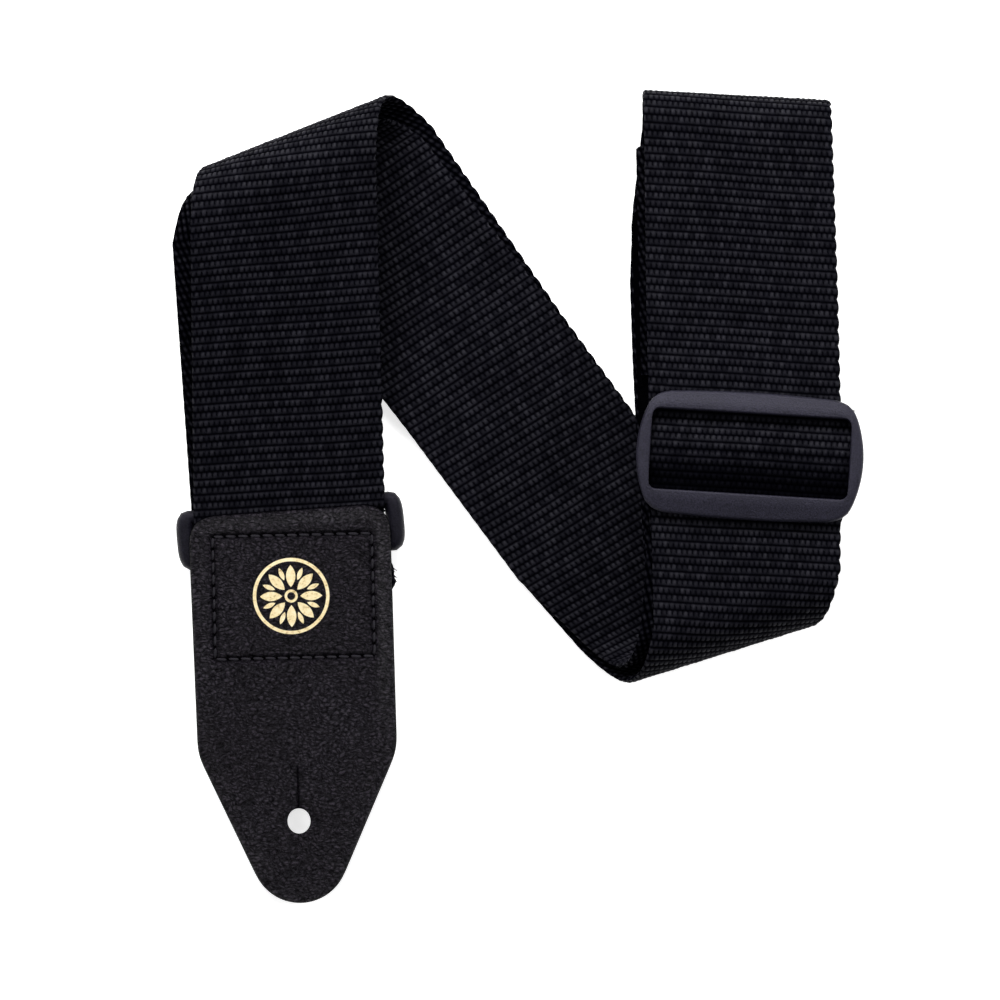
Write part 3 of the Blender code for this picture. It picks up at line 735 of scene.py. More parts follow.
class Nodes:
    """Short calls for building one material's node tree."""

    def __init__(self, name):
        self.material = bpy.data.materials.new(name)
        self.material.use_nodes = True
        self.tree = self.material.node_tree
        self.shader = self.tree.nodes["Principled BSDF"]

    def add(self, kind, links=None, **settings):
        node = self.tree.nodes.new(kind)
        for key, value in settings.items():
            setattr(node, key, value)
        for key, value in (links or {}).items():
            self.set(node.inputs[key], value)
        return node

    def set(self, socket, value):
        if isinstance(value, bpy.types.NodeSocket):
            self.tree.links.new(value, socket)
        else:
            socket.default_value = value

    def principled(self, **values):
        for key, value in values.items():
            self.set(self.shader.inputs[key.replace("_", " ")], value)

    def ramp(self, source, stops):
        node = self.add("ShaderNodeValToRGB", {"Fac": source})
        while len(node.color_ramp.elements) < len(stops):
            node.color_ramp.elements.new(0.5)
        for element, (position, colour) in zip(node.color_ramp.elements, stops):
            element.position = position
            element.color = (*colour, 1.0)
        return node.outputs["Color"]

    def noise(self, vector, scale, detail=2.0, roughness=0.5):
        links = {"Vector": vector, "Scale": scale, "Detail": detail, "Roughness": roughness}
        return self.add("ShaderNodeTexNoise", links).outputs["Fac"]

    def stretch(self, vector, scale):
        return self.add("ShaderNodeMapping", {"Vector": vector, "Scale": scale}).outputs["Vector"]

    def math(self, operation, a, b):
        node = self.add("ShaderNodeMath", operation=operation)
        self.set(node.inputs[0], a)
        self.set(node.inputs[1], b)
        return node.outputs["Value"]

    def mix(self, factor, a, b, blend="MIX"):
        node = self.add("ShaderNodeMix", data_type="RGBA", blend_type=blend)
        self.set(node.inputs["Factor"], factor)
        self.set(node.inputs[6], a)
        self.set(node.inputs[7], b)
        return node.outputs[2]

    def bump(self, height, distance_mm, strength=1.0, under=None):
        links = {"Height": height, "Distance": distance_mm * MM, "Strength": strength}
        if under is not None:
            links["Normal"] = under
        return self.add("ShaderNodeBump", links).outputs["Normal"]

    def attribute(self, name, output):
        return self.add("ShaderNodeAttribute", attribute_name=name).outputs[output]

    def object_mm(self):
        """Object coordinates in millimetres."""
        place = self.add("ShaderNodeTexCoord").outputs["Object"]
        return self.stretch(place, (1 / MM, 1 / MM, 1 / MM))


def webbing_material(name="webbing"):
    n = Nodes(name)
    tone = n.attribute("tone", "Fac")
    place = n.attribute("place", "Vector")
    fibre = n.noise(n.stretch(place, (9.0, 0.9, 1.0)), 1.0, 3.0, 0.6)
    patch = n.noise(n.stretch(place, (0.07, 0.05, 1.0)), 1.0, 2.0)
    streak = n.noise(n.stretch(place, (0.68, 0.02, 1.0)), 1.0, 1.0)
    # Painted shade: low tone, the weave's valleys, is painted near black and the float tops lighter; the
    # shine is kept off the valleys too.
    base = n.ramp(tone, [(0.0, (0.0002, 0.0002, 0.0006)), (0.40, (0.0036, 0.0035, 0.0054)),
                         (1.0, (0.0130, 0.0125, 0.0172))])
    lit = n.ramp(patch, [(0.3, (0.78, 0.78, 0.82)), (0.7, (1.14, 1.14, 1.14))])
    tone_scale = n.ramp(streak, [(0.3, (0.86, 0.86, 0.86)), (0.7, (1.12, 1.12, 1.12))])
    strand = n.ramp(fibre, [(0.3, (0.50, 0.50, 0.53)), (0.7, (1.40, 1.40, 1.40))])
    colour = n.mix(1.0, n.mix(1.0, n.mix(1.0, base, lit, "MULTIPLY"), tone_scale, "MULTIPLY"), strand,
                   "MULTIPLY")
    rough = n.math("ADD", n.math("MULTIPLY", fibre, 0.25), 0.48)
    shine = n.math("MULTIPLY", n.math("MULTIPLY", tone, tone), n.math("MULTIPLY", fibre, 0.26))
    n.principled(Base_Color=colour, Roughness=rough, Specular_IOR_Level=shine,
                 Normal=n.bump(fibre, 0.12, 0.7))
    return n.material


def leather_material():
    n = Nodes("leather")
    place = n.object_mm()
    swirl = n.noise(place, 0.16, 2.0)
    bent = n.add("ShaderNodeVectorMath", operation="ADD")
    n.set(bent.inputs[0], place)
    n.set(bent.inputs[1], n.ramp(swirl, [(0.0, (0.0, 0.0, 0.0)), (1.0, (3.0, 3.0, 3.0))]))
    grain = n.stretch(bent.outputs["Vector"], (1.0, 1.45, 1.0))
    cell = n.add("ShaderNodeTexVoronoi", {"Vector": grain, "Scale": 0.72, "Randomness": 1.0},
                 feature="DISTANCE_TO_EDGE").outputs["Distance"]
    crease = n.ramp(cell, [(0.0, (0.0, 0.0, 0.0)), (0.30, (1.0, 1.0, 1.0))])
    fine = n.ramp(n.noise(grain, 0.95, 4.0, 0.7), [(0.36, (0.0, 0.0, 0.0)), (0.64, (1.0, 1.0, 1.0))])
    height = n.math("ADD", n.math("MULTIPLY", crease, 0.4), n.math("MULTIPLY", fine, 0.6))
    patch = n.noise(place, 0.05, 2.0)
    # The tone is 0 on the walls and outermost rim, painted near black there, lower along the seam and
    # needle holes (painted shade) and above 1 along the top and right margins (painted highlight).
    edge = n.attribute("tone", "Fac")
    # Painted shade and highlight: the grain's creases and low spots are painted near black and its tops
    # lighter.
    base = n.ramp(height, [(0.1, (0.0006, 0.0005, 0.0010)), (0.55, (0.0040, 0.0030, 0.0056)),
                           (0.95, (0.0230, 0.0190, 0.0270))])
    tint = n.ramp(patch, [(0.35, (0.80, 0.70, 0.82)), (0.7, (1.20, 1.18, 1.20))])
    colour = n.mix(1.0, base, tint, "MULTIPLY")
    colour = n.mix(edge, (0.0006, 0.0006, 0.0010, 1.0), colour)
    rough = n.math("SUBTRACT", 0.56, n.math("MULTIPLY", height, 0.16))
    shine = n.math("ADD", n.math("MULTIPLY", height, 0.22), 0.03)
    n.principled(Base_Color=colour, Roughness=rough, Specular_IOR_Level=n.math("MULTIPLY", shine, edge),
                 Normal=n.bump(height, 0.42, 1.0))
    return n.material


def plastic_material(name, base, shine):
    """Moulded plastic: base is its two tones, shine its specular level."""
    n = Nodes(name)
    place = n.object_mm()
    pits = n.noise(place, 2.3, 4.0, 0.7)
    cloud = n.noise(place, 0.09, 2.0)
    colour = n.ramp(cloud, [(0.3, base[0]), (0.7, base[1])])
    speck = n.ramp(pits, [(0.38, (0.30, 0.30, 0.36)), (0.62, (1.70, 1.70, 1.70))])
    colour = n.mix(1.0, colour, speck, "MULTIPLY")
    rough = n.math("ADD", n.math("MULTIPLY", pits, 0.24), 0.36)
    n.principled(Base_Color=colour, Roughness=rough, Specular_IOR_Level=shine,
                 Normal=n.bump(pits, 0.18, 1.0))
    n.set(n.shader.inputs["Specular Tint"], (0.86, 0.84, 1.0, 1.0))
    return n.material


def thread_material():
    n = Nodes("sewing_thread")
    place = n.attribute("place", "Vector")
    wave = n.add("ShaderNodeTexWave", {"Vector": place, "Scale": 1.4, "Distortion": 0.6},
                 bands_direction="DIAGONAL").outputs["Fac"]
    # Painted highlight and shade: the diagonal bands of the twist are painted lighter on the plies and
    # darker between them.
    colour = n.ramp(wave, [(0.2, (0.0040, 0.0036, 0.0058)), (0.8, (0.0300, 0.0270, 0.0360))])
    n.principled(Base_Color=colour, Roughness=0.55, Specular_IOR_Level=0.24,
                 Normal=n.bump(wave, 0.08, 0.8))
    return n.material


def foil_material():
    n = Nodes("gold_foil")
    place = n.object_mm()
    rub = n.noise(place, 0.9, 4.0, 0.7)
    colour = n.ramp(rub, [(0.30, (0.42, 0.29, 0.12)), (0.45, (0.88, 0.72, 0.40)),
                          (0.8, (1.0, 0.92, 0.68))])
    rough = n.math("ADD", n.math("MULTIPLY", rub, 0.3), 0.3)
    n.principled(Base_Color=colour, Roughness=rough, Metallic=0.35,
                 Normal=n.bump(rub, 0.05, 0.6))
    return n.material


# ---------------------------------------------------------------------------------------------
# Leather ends
GRID = 0.85
FINE_GRID = 0.32
RIM_R = 1.1
HOLE_RIM = 0.45
UNDER_RIM = 0.3
STITCH_PITCH = 3.27
STITCH_R = 0.34
STITCH_LENGTH = 2.75
SEAM_SINK = 0.62
PAD_RISE = 0.5
WALL_TONE = 0.0


def resample(points, step, closed=True):
    """The outline with points about one step apart."""
    points = np.array(points, float)
    loop = np.vstack((points, points[:1])) if closed else points
    length = np.concatenate(([0.0], np.cumsum(np.linalg.norm(np.diff(loop, axis=0), axis=1))))
    count = max(8, round(length[-1] / step))
    at = np.linspace(0, length[-1], count + (0 if closed else 1), endpoint=not closed)
    return np.stack([np.interp(at, length, loop[:, k]) for k in (0, 1)], 1)


def smooth_loop(points, passes):
    for _ in range(passes):
        points = 0.25 * np.roll(points, 1, 0) + 0.5 * points + 0.25 * np.roll(points, -1, 0)
    return points


def inset(loop, amount):
    """The closed anticlockwise loop moved inwards."""
    ahead = np.roll(loop, -1, 0) - np.roll(loop, 1, 0)
    inward = np.stack((-ahead[:, 1], ahead[:, 0]), 1)
    return loop + inward / np.linalg.norm(inward, axis=1)[:, None] * amount


def to_loop(points, loop, closed=True):
    """Distance from each point to the nearest side of a loop."""
    a = loop
    b = np.roll(loop, -1, 0)
    if not closed:
        a, b = a[:-1], b[:-1]
    best = np.full(len(points), 1e9)
    for p, q in zip(a, b):
        side = q - p
        t = np.clip(((points - p) @ side) / (side @ side + SMALL), 0, 1)
        best = np.minimum(best, np.linalg.norm(points - p - t[:, None] * side, axis=1))
    return best


def inside(points, loop):
    result = np.zeros(len(points), bool)
    x, y = points[:, 0], points[:, 1]
    for (ax, ay), (bx, by) in zip(loop, np.roll(loop, -1, 0)):
        if ay == by:
            continue
        crosses = (ay > y) != (by > y)
        result ^= crosses & (x < (bx - ax) * (y - ay) / (by - ay) + ax)
    return result


def anticlockwise(loop):
    area = np.sum(loop[:, 0] * np.roll(loop[:, 1], -1) - np.roll(loop[:, 0], -1) * loop[:, 1])
    return loop if area > 0 else loop[::-1]


def leather_loops():
    outline = anticlockwise(smooth_loop(resample(leather_outline(), 0.7), 6))
    angles = np.linspace(0, 2 * math.pi, 40, endpoint=False)
    hole = np.stack((HOLE_R * np.cos(angles), HOLE_Y + HOLE_R * HOLE_STRETCH * np.sin(angles)), 1)
    return outline, hole


def seam_holes():
    """The needle holes of the box stitch, in order round it."""
    corners = ((-BOX_HALF, BOX_TOP), (BOX_HALF, BOX_TOP), (BOX_HALF, BOX_BOTTOM),
               (-BOX_HALF, BOX_BOTTOM))
    holes = []
    for (ax, ay), (bx, by) in zip(corners, corners[1:] + corners[:1]):
        count = round(math.dist((ax, ay), (bx, by)) / STITCH_PITCH)
        for i in range(count):
            holes.append((lerp(ax, bx, i / count), lerp(ay, by, i / count)))
    return np.array(holes)


def leather_rise(points, outline, hole):
    """Height of the leather's face above its nominal thickness."""
    seam = np.array(rounded_box(BOX_HALF, BOX_TOP, BOX_BOTTOM, BOX_CORNER_R))
    off = to_loop(points, seam)
    within = inside(points, seam)
    rise = -SEAM_SINK * np.exp(-((off / 0.75) ** 2))
    pad = PAD_RISE * (1 - np.exp(-((off / 4.5) ** 1.6)))
    rise += np.where(within, pad, 0.25 * np.exp(-(((off - 2.2) / 1.3) ** 2)))
    holes = seam_holes()
    near = np.full(len(points), 1e9)
    for x, y in holes:
        near = np.minimum(near, np.hypot(points[:, 0] - x, points[:, 1] - y))
    rise -= 0.30 * np.exp(-((near / 0.55) ** 2))
    rise += 0.10 * np.exp(-(((off - 1.1) / 0.6) ** 2)) * np.clip(near - 0.6, 0, 1)
    edge = to_loop(points, outline)
    rise -= RIM_R - np.sqrt(np.clip(RIM_R**2 - np.clip(RIM_R - edge, 0, RIM_R) ** 2, 0, None))
    rim = to_loop(points, hole)
    rise -= HOLE_RIM - np.sqrt(np.clip(HOLE_RIM**2 - np.clip(HOLE_RIM - rim, 0, None) ** 2, 0, None))
    slit_end = HOLE_Y - HOLE_R * HOLE_STRETCH
    slit_start = slit_end - SLIT_LENGTH
    share = np.clip((points[:, 1] - slit_start) / SLIT_LENGTH, 0, 1)
    there = np.clip((points[:, 1] - slit_start) / 0.6, 0, 1) * (points[:, 1] < slit_end + 0.5)
    width = lerp(0.16, 0.34, share**2)
    rise -= 1.3 * there * np.exp(-((points[:, 0] / width) ** 2))
    rise -= 0.16 * there * np.exp(-((points[:, 0] / 1.2) ** 2))
    rise += 0.10 * drift(points[:, 0] * 1.1, points[:, 1] * 0.8)
    return rise


def leather_points(outline, hole):
    """Points over the leather's face: rings along its edges, a grid, and more near the seam."""
    rings = [outline]
    for amount in (0.12, 0.35, 0.65, 1.05, 1.6):
        rings.append(inset(outline, amount))
    rings.append(hole)
    for amount in (-0.12, -0.3, -0.6, -1.1):
        rings.append(inset(hole, amount))
    lo, hi = outline.min(0), outline.max(0)
    seam = np.array(rounded_box(BOX_HALF, BOX_TOP, BOX_BOTTOM, BOX_CORNER_R))
    for step, fine in ((GRID, False), (FINE_GRID, True)):
        xs = np.arange(lo[0], hi[0], step)
        ys = np.arange(lo[1], hi[1], step)
        grid = np.stack(np.meshgrid(xs, ys), -1)
        grid[1::2, :, 0] += step / 2
        grid = grid.reshape(-1, 2) + 0.011
        keep = inside(grid, outline) & (to_loop(grid, outline) > 2.0)
        keep &= ~inside(grid, hole) & (to_loop(grid, hole) > 1.5)
        slit_end = HOLE_Y - HOLE_R * HOLE_STRETCH
        by_slit = (np.abs(grid[:, 0]) < 1.3) & (grid[:, 1] > slit_end - SLIT_LENGTH - 1.0)
        by_slit &= grid[:, 1] < slit_end - 1.4
        by_seam = to_loop(grid, seam) < 1.9
        if fine:
            keep &= by_seam
        else:
            keep &= ~by_seam & ~by_slit
        rings.append(grid[keep])
    slit_ys = np.arange(slit_end - SLIT_LENGTH - 0.9, slit_end - 0.2, 0.4)
    slit_xs = np.array((-1.1, -0.65, -0.4, -0.25, -0.12, 0.0, 0.12, 0.25, 0.4, 0.65, 1.1))
    slit = np.stack(np.meshgrid(slit_xs, slit_ys), -1).reshape(-1, 2)
    rings.append(slit[to_loop(slit, hole) > 0.15])
    return rings


def triangulate(rings, outline_count, hole_start, hole_count, outline, hole):
    points = np.vstack(rings)
    edges = [(i, (i + 1) % outline_count) for i in range(outline_count)]
    edges += [(hole_start + i, hole_start + (i + 1) % hole_count) for i in range(hole_count)]
    result = delaunay_2d_cdt([Vector(p) for p in points], edges, [], 0, 1e-6)
    made = np.array([tuple(v) for v in result[0]])
    faces = np.array(result[2], np.int64)
    middle = made[faces].mean(1)
    faces = faces[inside(middle, outline) & ~inside(middle, hole)]
    corner = made[faces]
    turned = np.cross(corner[:, 1] - corner[:, 0], corner[:, 2] - corner[:, 0]) < 0
    faces[turned] = faces[turned][:, ::-1]
    return made, faces


def painted_margin_light(flat, outline):
    """Painted highlight: how much the leather's tone is raised along its margins, most at top and right.
    """
    margin = np.exp(-(((to_loop(flat, outline) - 2.6) / 2.0) ** 2))
    top = np.interp(flat[:, 1], (BOX_TOP - 4.0, BOX_TOP), (1.0, 0.0))
    right = np.interp(flat[:, 0], (BOX_HALF - 2.0, BOX_HALF + 1.5), (0.0, 1.0))
    right = right * np.interp(flat[:, 1], (BOX_BOTTOM, BOX_BOTTOM + 25.0), (1.0, 0.0))
    return 1.0 + margin * (0.15 + 0.75 * np.maximum(top, right))


def leather_object(name, frame, thick, material):
    """A leather end with a rolled rim, sunk seam, padded box, button hole and closed slit."""
    outline, hole = leather_loops()
    rings = leather_points(outline, hole)
    hole_start = sum(len(ring) for ring in rings[:6])
    flat, top = triangulate(rings, len(outline), hole_start, len(hole), outline, hole)
    rise = leather_rise(flat, outline, hole)
    points = [place_on(frame, flat, thick + rise)]
    seam = np.array(rounded_box(BOX_HALF, BOX_TOP, BOX_BOTTOM, BOX_CORNER_R))
    pricks = seam_holes()
    near = np.min(np.hypot(flat[:, :1] - pricks[:, 0], flat[:, 1:] - pricks[:, 1]), axis=1)
    # Painted shade: the tone is lowered along the sunk seam and round its needle holes; the margin factor
    # is painted highlight.
    seam_shade = 0.55 * np.exp(-((to_loop(flat, seam) / 0.7) ** 2)) + 0.45 * np.exp(-((near / 0.75) ** 2))
    tones = [np.clip(to_loop(flat, outline) / 0.5, 0, 1) * (1 - seam_shade) * painted_margin_light(flat, outline)]
    faces = [top]
    count = len(flat)
    walls = (
        (outline, ((0.0, thick - RIM_R), (-0.08, thick - 1.6), (-0.04, 0.7), (0.0, UNDER_RIM),
                   (UNDER_RIM, 0.0)), False),
        (hole, ((0.0, thick - HOLE_RIM), (0.05, thick / 2), (0.0, UNDER_RIM), (-UNDER_RIM, 0.0)),
         True),
    )
    bottoms = []
    for loop, levels, flip in walls:
        layers = [place_on(frame, inset(loop, amount), np.full(len(loop), z)) for amount, z in levels]
        points.append(np.vstack(layers))
        quads = grid_faces(len(levels), len(loop), not flip, wrap_cols=True)
        faces.append(np.vstack((quads[:, :3], quads[:, [0, 2, 3]])) + count)
        tones.append(np.full(len(levels) * len(loop), WALL_TONE))
        bottoms.append((inset(loop, levels[-1][0]), count + (len(levels) - 1) * len(loop)))
        count += len(levels) * len(loop)
    (low_out, out_at), (low_hole, hole_at) = bottoms
    made, under = triangulate([low_out, low_hole], len(low_out), len(low_out), len(low_hole),
                              low_out, low_hole)
    index = np.concatenate((out_at + np.arange(len(low_out)), hole_at + np.arange(len(low_hole))))
    faces.append(index[under[:, ::-1]])
    points = np.vstack(points)
    tones = np.concatenate(tones)
    obj = plain_mesh(name, points, np.vstack(faces), material)
    return store(obj, tones, np.zeros((len(points), 2)))


def place_on(frame, flat, z):
    return (frame.origin + flat[:, :1] * frame.across + flat[:, 1:2] * frame.along
            + np.asarray(z)[:, None] * frame.normal)


def capsules(name, paths, radii, material, sides=10, flatten=1.0):
    """Several short closed tubes in one mesh: each path is (points, up) and swells by radii."""
    points, faces, places = [], [], []
    count = 0
    angles = np.linspace(0, 2 * math.pi, sides, endpoint=False)
    for path, up in paths:
        path = np.array(path)
        tangent = np.gradient(path, axis=0)
        tangent /= np.linalg.norm(tangent, axis=1)[:, None]
        side = np.cross(tangent, up)
        side /= np.linalg.norm(side, axis=1)[:, None]
        over = np.cross(side, tangent)
        ring = (np.cos(angles)[None, :, None] * side[:, None]
                + flatten * np.sin(angles)[None, :, None] * over[:, None])
        body = path[:, None] + np.asarray(radii)[:, None, None] * ring
        points.append(body.reshape(-1, 3))
        faces.append(grid_faces(len(path), sides, True, wrap_cols=True) + count)
        length = np.linspace(0, 1, len(path)) * np.linalg.norm(path[-1] - path[0])
        places.append(np.stack(np.broadcast_arrays(angles[None, :], 3 * length[:, None]), -1))
        count += len(path) * sides
    points = np.vstack(points)
    obj = plain_mesh(name, points, np.vstack(faces), material)
    return store(obj, np.ones(len(points)), np.vstack([p.reshape(-1, 2) for p in places]))


def stitches(name, frame, height, sign, material):
    """The box seam's stitches, one capsule each. height(x, y) is the surface they lie on."""
    holes = seam_holes()
    shares = np.linspace(-1, 1, 9)
    radii = STITCH_R * np.sqrt(np.clip(1.02 - np.abs(shares) ** 4, 0.02, 1))
    paths = []
    for a, b in zip(holes, np.roll(holes, -1, 0)):
        middle = (a + b) / 2
        half = (b - a) / 2 * (STITCH_LENGTH / STITCH_PITCH)
        normal = np.array((-half[1], half[0])) / np.linalg.norm(half)
        line = []
        for share in shares:
            x, y = middle + half * share + normal * 0.13 * share
            z = height(x, y) + sign * (0.16 - 0.42 * abs(share) ** 3)
            line.append(frame.at(x, y, z))
        paths.append((line, sign * frame.normal))
    return capsules(name, paths, radii, material, flatten=0.8)


# ---------------------------------------------------------------------------------------------
# Moulded parts
SLIDER_ROUND = 1.2
BAR_TILT = 1.0
BAR_CROWN = 0.25
END_FAT = 0.22


def even_box(half_x, y0, y1, radius, corner_steps, side_steps):
    """A rounded rectangle whose points match those of any other made with the same steps."""
    points = []
    corners = rounded_box(half_x, y0, y1, radius, corner_steps)
    per = corner_steps + 1
    for c in range(4):
        points += corners[c * per:(c + 1) * per]
        a = corners[c * per + corner_steps]
        b = corners[(c + 1) * per % len(corners)]
        steps = side_steps[c % 2]
        for k in range(1, steps):
            points.append((lerp(a[0], b[0], k / steps), lerp(a[1], b[1], k / steps)))
    return np.array(points)


def ring_object(material):
    """The ring as one smooth bent bar."""
    place = Frame((RING_CENTRE[0], RING_CENTRE[1], RING_Z), flat_dir(RING_ANGLE),
                  flat_dir(RING_ANGLE + 90.0))
    half_y = RING_HEIGHT / 2 - RING_BAR_R
    bulge = RING_WIDTH / 2 - RING_BAR_R - RING_BAR_HALF
    path = []
    for side in (1, -1):
        for i in range(49):
            angle = math.radians(lerp(-90.0, 90.0, i / 48))
            x = RING_BAR_HALF + bulge * abs(math.cos(angle)) ** RING_SQUARENESS
            y = half_y * math.copysign(abs(math.sin(angle)) ** RING_SQUARENESS, angle)
            path.append((side * x, side * y))
    path = resample(path, 0.8)
    sides = 28
    angles = np.linspace(0, 2 * math.pi, sides, endpoint=False)
    ahead = np.roll(path, -1, 0) - np.roll(path, 1, 0)
    out = np.stack((ahead[:, 1], -ahead[:, 0]), 1)
    out /= np.linalg.norm(out, axis=1)[:, None]
    seam = 1 + 0.035 * np.exp(-((np.abs(np.sin(angles)) / 0.10) ** 2))
    points = []
    for centre, away in zip(path, out):
        fat = 1 + END_FAT * min(1.0, max(0.0, (abs(centre[0]) - RING_BAR_HALF) / 1.2))
        for angle, swell in zip(angles, seam):
            reach = RING_BAR_R * swell * (fat if abs(math.cos(angle)) > 0.3 else 1 + (fat - 1) * 0.6)
            x, y = centre + away * reach * math.cos(angle)
            points.append(place.at(x, y, reach * math.sin(angle)))
    faces = grid_faces(len(path), sides, False, True, True)
    return plain_mesh("ring_moulding", points, faces, material)


def slider_plan(steps):
    """The slider's outer edge and window edge, point for point, in its own frame."""
    half_x = SLIDER_WIDTH / 2
    half_y = SLIDER_HEIGHT / 2 - SIDE_BOW
    outer = even_box(half_x, -half_y, half_y, SLIDER_ROUND, *steps)
    x, y = outer[:, 0] / half_x, outer[:, 1] / half_y
    ends = 1 - end_bow(y) / half_x
    long_side = np.clip((np.abs(y) - 0.9) / 0.1, 0, 1)
    bow = np.sign(y) * long_side * SIDE_BOW * (1 - x * x)
    outer = np.stack((outer[:, 0] * ends, outer[:, 1] + bow), 1)
    window = even_box(WINDOW_WIDTH / 2, WINDOW_SHIFT - WINDOW_HEIGHT / 2,
                      WINDOW_SHIFT + WINDOW_HEIGHT / 2, WINDOW_CORNER_R, *steps)
    return outer, window


def slider_object(material):
    """The slider's frame with rolled edges, its two lugs and its sunk middle bar."""
    place = slider_frame()
    outer, window = slider_plan((7, (26, 40)))
    across = window - outer
    reach = np.linalg.norm(across, axis=1)[:, None]
    across = across / reach
    z0, z1 = SLIDER_Z0, SLIDER_Z0 + SLIDER_THICK
    profile = []
    for from_window, top, radius in ((0, 0, 0.5), (0, 1, 1.1), (1, 1, 0.6), (1, 0, 0.4)):
        for i in range(6):
            angle = math.radians(90.0 * i / 5)
            if from_window == top:
                angle = math.pi / 2 - angle
            inwards = radius * (1 - math.cos(angle))
            z = z1 - radius * (1 - math.sin(angle)) if top else z0 + radius * (1 - math.sin(angle))
            profile.append((from_window, inwards, z))
        if not from_window and top:
            profile.append((2, 0.5, z1 + BAR_CROWN / 2))
    fall = BAR_TILT * np.clip(np.abs(outer[:, 1]) / (SLIDER_HEIGHT / 2), 0, 1) ** 4
    rings = []
    for kind, inwards, z in profile:
        if kind == 0:
            flat = outer + across * inwards
            drop = fall if z > z1 - 1.5 else 0.0 * fall
        elif kind == 1:
            flat = window - across * inwards
            drop = -0.2 * fall if z > z1 - 1.5 else 0.0 * fall
        else:
            flat = outer + across * reach * inwards
            drop = 0.3 * fall
        rings.append(place_on(place, flat, z - drop))
    points = np.vstack(rings)
    faces = grid_faces(len(rings), len(outer), False, True, True)
    parts = [(points, faces)]
    foot = BAR_Z - BAR_THICK / 2 - LUG_DROP
    lug_outer = SLIDER_WIDTH / 2 - LUG_INSET
    for side in (-1, 1):
        centre = side * (LUG_INNER + lug_outer) / 2
        half = (lug_outer - LUG_INNER) / 2
        levels = ((0.5, foot), (0.15, foot + 0.15), (0.0, foot + 0.5), (0.0, SLIDER_Z0 + 0.4))
        layers = []
        for amount, z in levels:
            box = even_box(half - amount, amount - LUG_HALF_DEPTH, LUG_HALF_DEPTH - amount,
                           LUG_CORNER_R - amount / 2, 4, (4, 4))
            layers.append(place_on(place, box + (centre, 0.0), np.full(len(box), z)))
        parts.append(closed_stack(layers))
    nose = BAR_THICK / 2
    section = []
    for start, y in ((-90.0, BAR_HALF_DEPTH - nose), (90.0, nose - BAR_HALF_DEPTH)):
        for i in range(13):
            angle = math.radians(start + 180.0 * i / 12)
            section.append((y + nose * math.cos(angle), BAR_Z + nose * math.sin(angle)))
    bar = [np.array([place.at(x, y, z) for y, z in section])
           for x in np.linspace(-LUG_INNER - BAR_BITE, LUG_INNER + BAR_BITE, 9)]
    parts.append(closed_stack(bar))
    points, faces, count = [], [], 0
    for part_points, part_faces in parts:
        points.append(part_points)
        faces.append(part_faces + count)
        count += len(part_points)
    return plain_mesh("slider_moulding", np.vstack(points), np.vstack(faces), material)


def closed_stack(layers):
    """A stack of equal loops as one closed skin, with a small fan of quads at each end."""
    layers = [layers[0] * 0 + layers[0].mean(0)] + list(layers) + [layers[-1] * 0 + layers[-1].mean(0)]
    return np.vstack(layers), grid_faces(len(layers), len(layers[0]), False, wrap_cols=True)


# ---------------------------------------------------------------------------------------------
# Small pieces
FRAY_Y = 7.0
FRAYS = 26
MARK_X = -0.6
MARK_Y = 10.85
MARK_R = 10.2


def petal(centre, angle, near, far, half, steps=10):
    """A pointed leaf outline on the leather, from near to far along an angle."""
    along = np.array((math.cos(angle), math.sin(angle)))
    side = np.array((-along[1], along[0]))
    left, right = [], []
    for i in range(steps + 1):
        share = i / steps
        width = half * math.sin(math.pi * share) ** 0.8
        middle = centre + along * lerp(near, far, share)
        left.append(middle + side * width)
        right.append(middle - side * width)
    return left, right


def mark_object(place, height, material):
    """A plain ornament in foil: a rosette of leaves inside a thin ring. It stands for no maker."""
    centre = np.array((MARK_X, MARK_Y))
    strips = []
    for i in range(8):
        angle = math.pi * i / 4
        strips.append(petal(centre, angle, 2.4, 8.3, 1.25))
        strips.append(petal(centre, angle + math.pi / 8, 4.6, 8.1, 0.62))
    angles = np.linspace(0, 2 * math.pi, 97)
    spokes = np.stack((np.cos(angles), np.sin(angles)), 1)
    for inner, outer in ((9.3, MARK_R), (1.05, 1.75)):
        strips.append((list(centre + spokes * inner), list(centre + spokes * outer)))
    points, faces, count = [], [], 0
    for left, right in strips:
        flat = np.array([p for pair in zip(left, right) for p in pair])
        z = height(flat[:, 0], flat[:, 1])
        for lift in (0.07, -0.1):
            points.append(place_on(place, flat, z + lift))
        rows = len(left)
        quads = grid_faces(rows, 2, True)
        faces.append(quads + count)
        faces.append(quads[:, ::-1] + count + 2 * rows)
        rim = []
        for k in range(rows - 1):
            a = 2 * k
            rim.append((a, a + 2, a + 2 + 2 * rows, a + 2 * rows))
            rim.append((a + 3, a + 1, a + 1 + 2 * rows, a + 3 + 2 * rows))
        faces.append(np.array(rim) + count)
        count += 4 * rows
    return plain_mesh("foil_ornament", np.vstack(points), np.vstack(faces), material, False)


def frays(place, material):
    """Loose yarn ends at the keeper's cut corner, beside the leather."""
    paths = []
    for _ in range(FRAYS):
        x = KEEPER_SHIFT_LOW + HALF_WEB - 0.9 + RNG.uniform(-0.5, 0.5)
        y = FRAY_Y + RNG.uniform(-3.2, 1.2)
        z = -PLY_GAP - HALF_THICK + RNG.uniform(-0.6, 0.6)
        angle = math.radians(RNG.uniform(20.0, 95.0))
        reach = RNG.uniform(0.9, 2.3)
        bow = RNG.uniform(-0.4, 0.4)
        line = []
        for share in np.linspace(0, 1, 6):
            out = reach * share
            sag = bow * share**2
            line.append(place.at(x + out * math.cos(angle) + sag, y + out * math.sin(angle) + sag,
                                 z - 0.5 * share**2))
        paths.append((line, place.normal))
    return capsules("keeper_frayed_yarns", paths, np.linspace(0.10, 0.05, 6), material, 6)


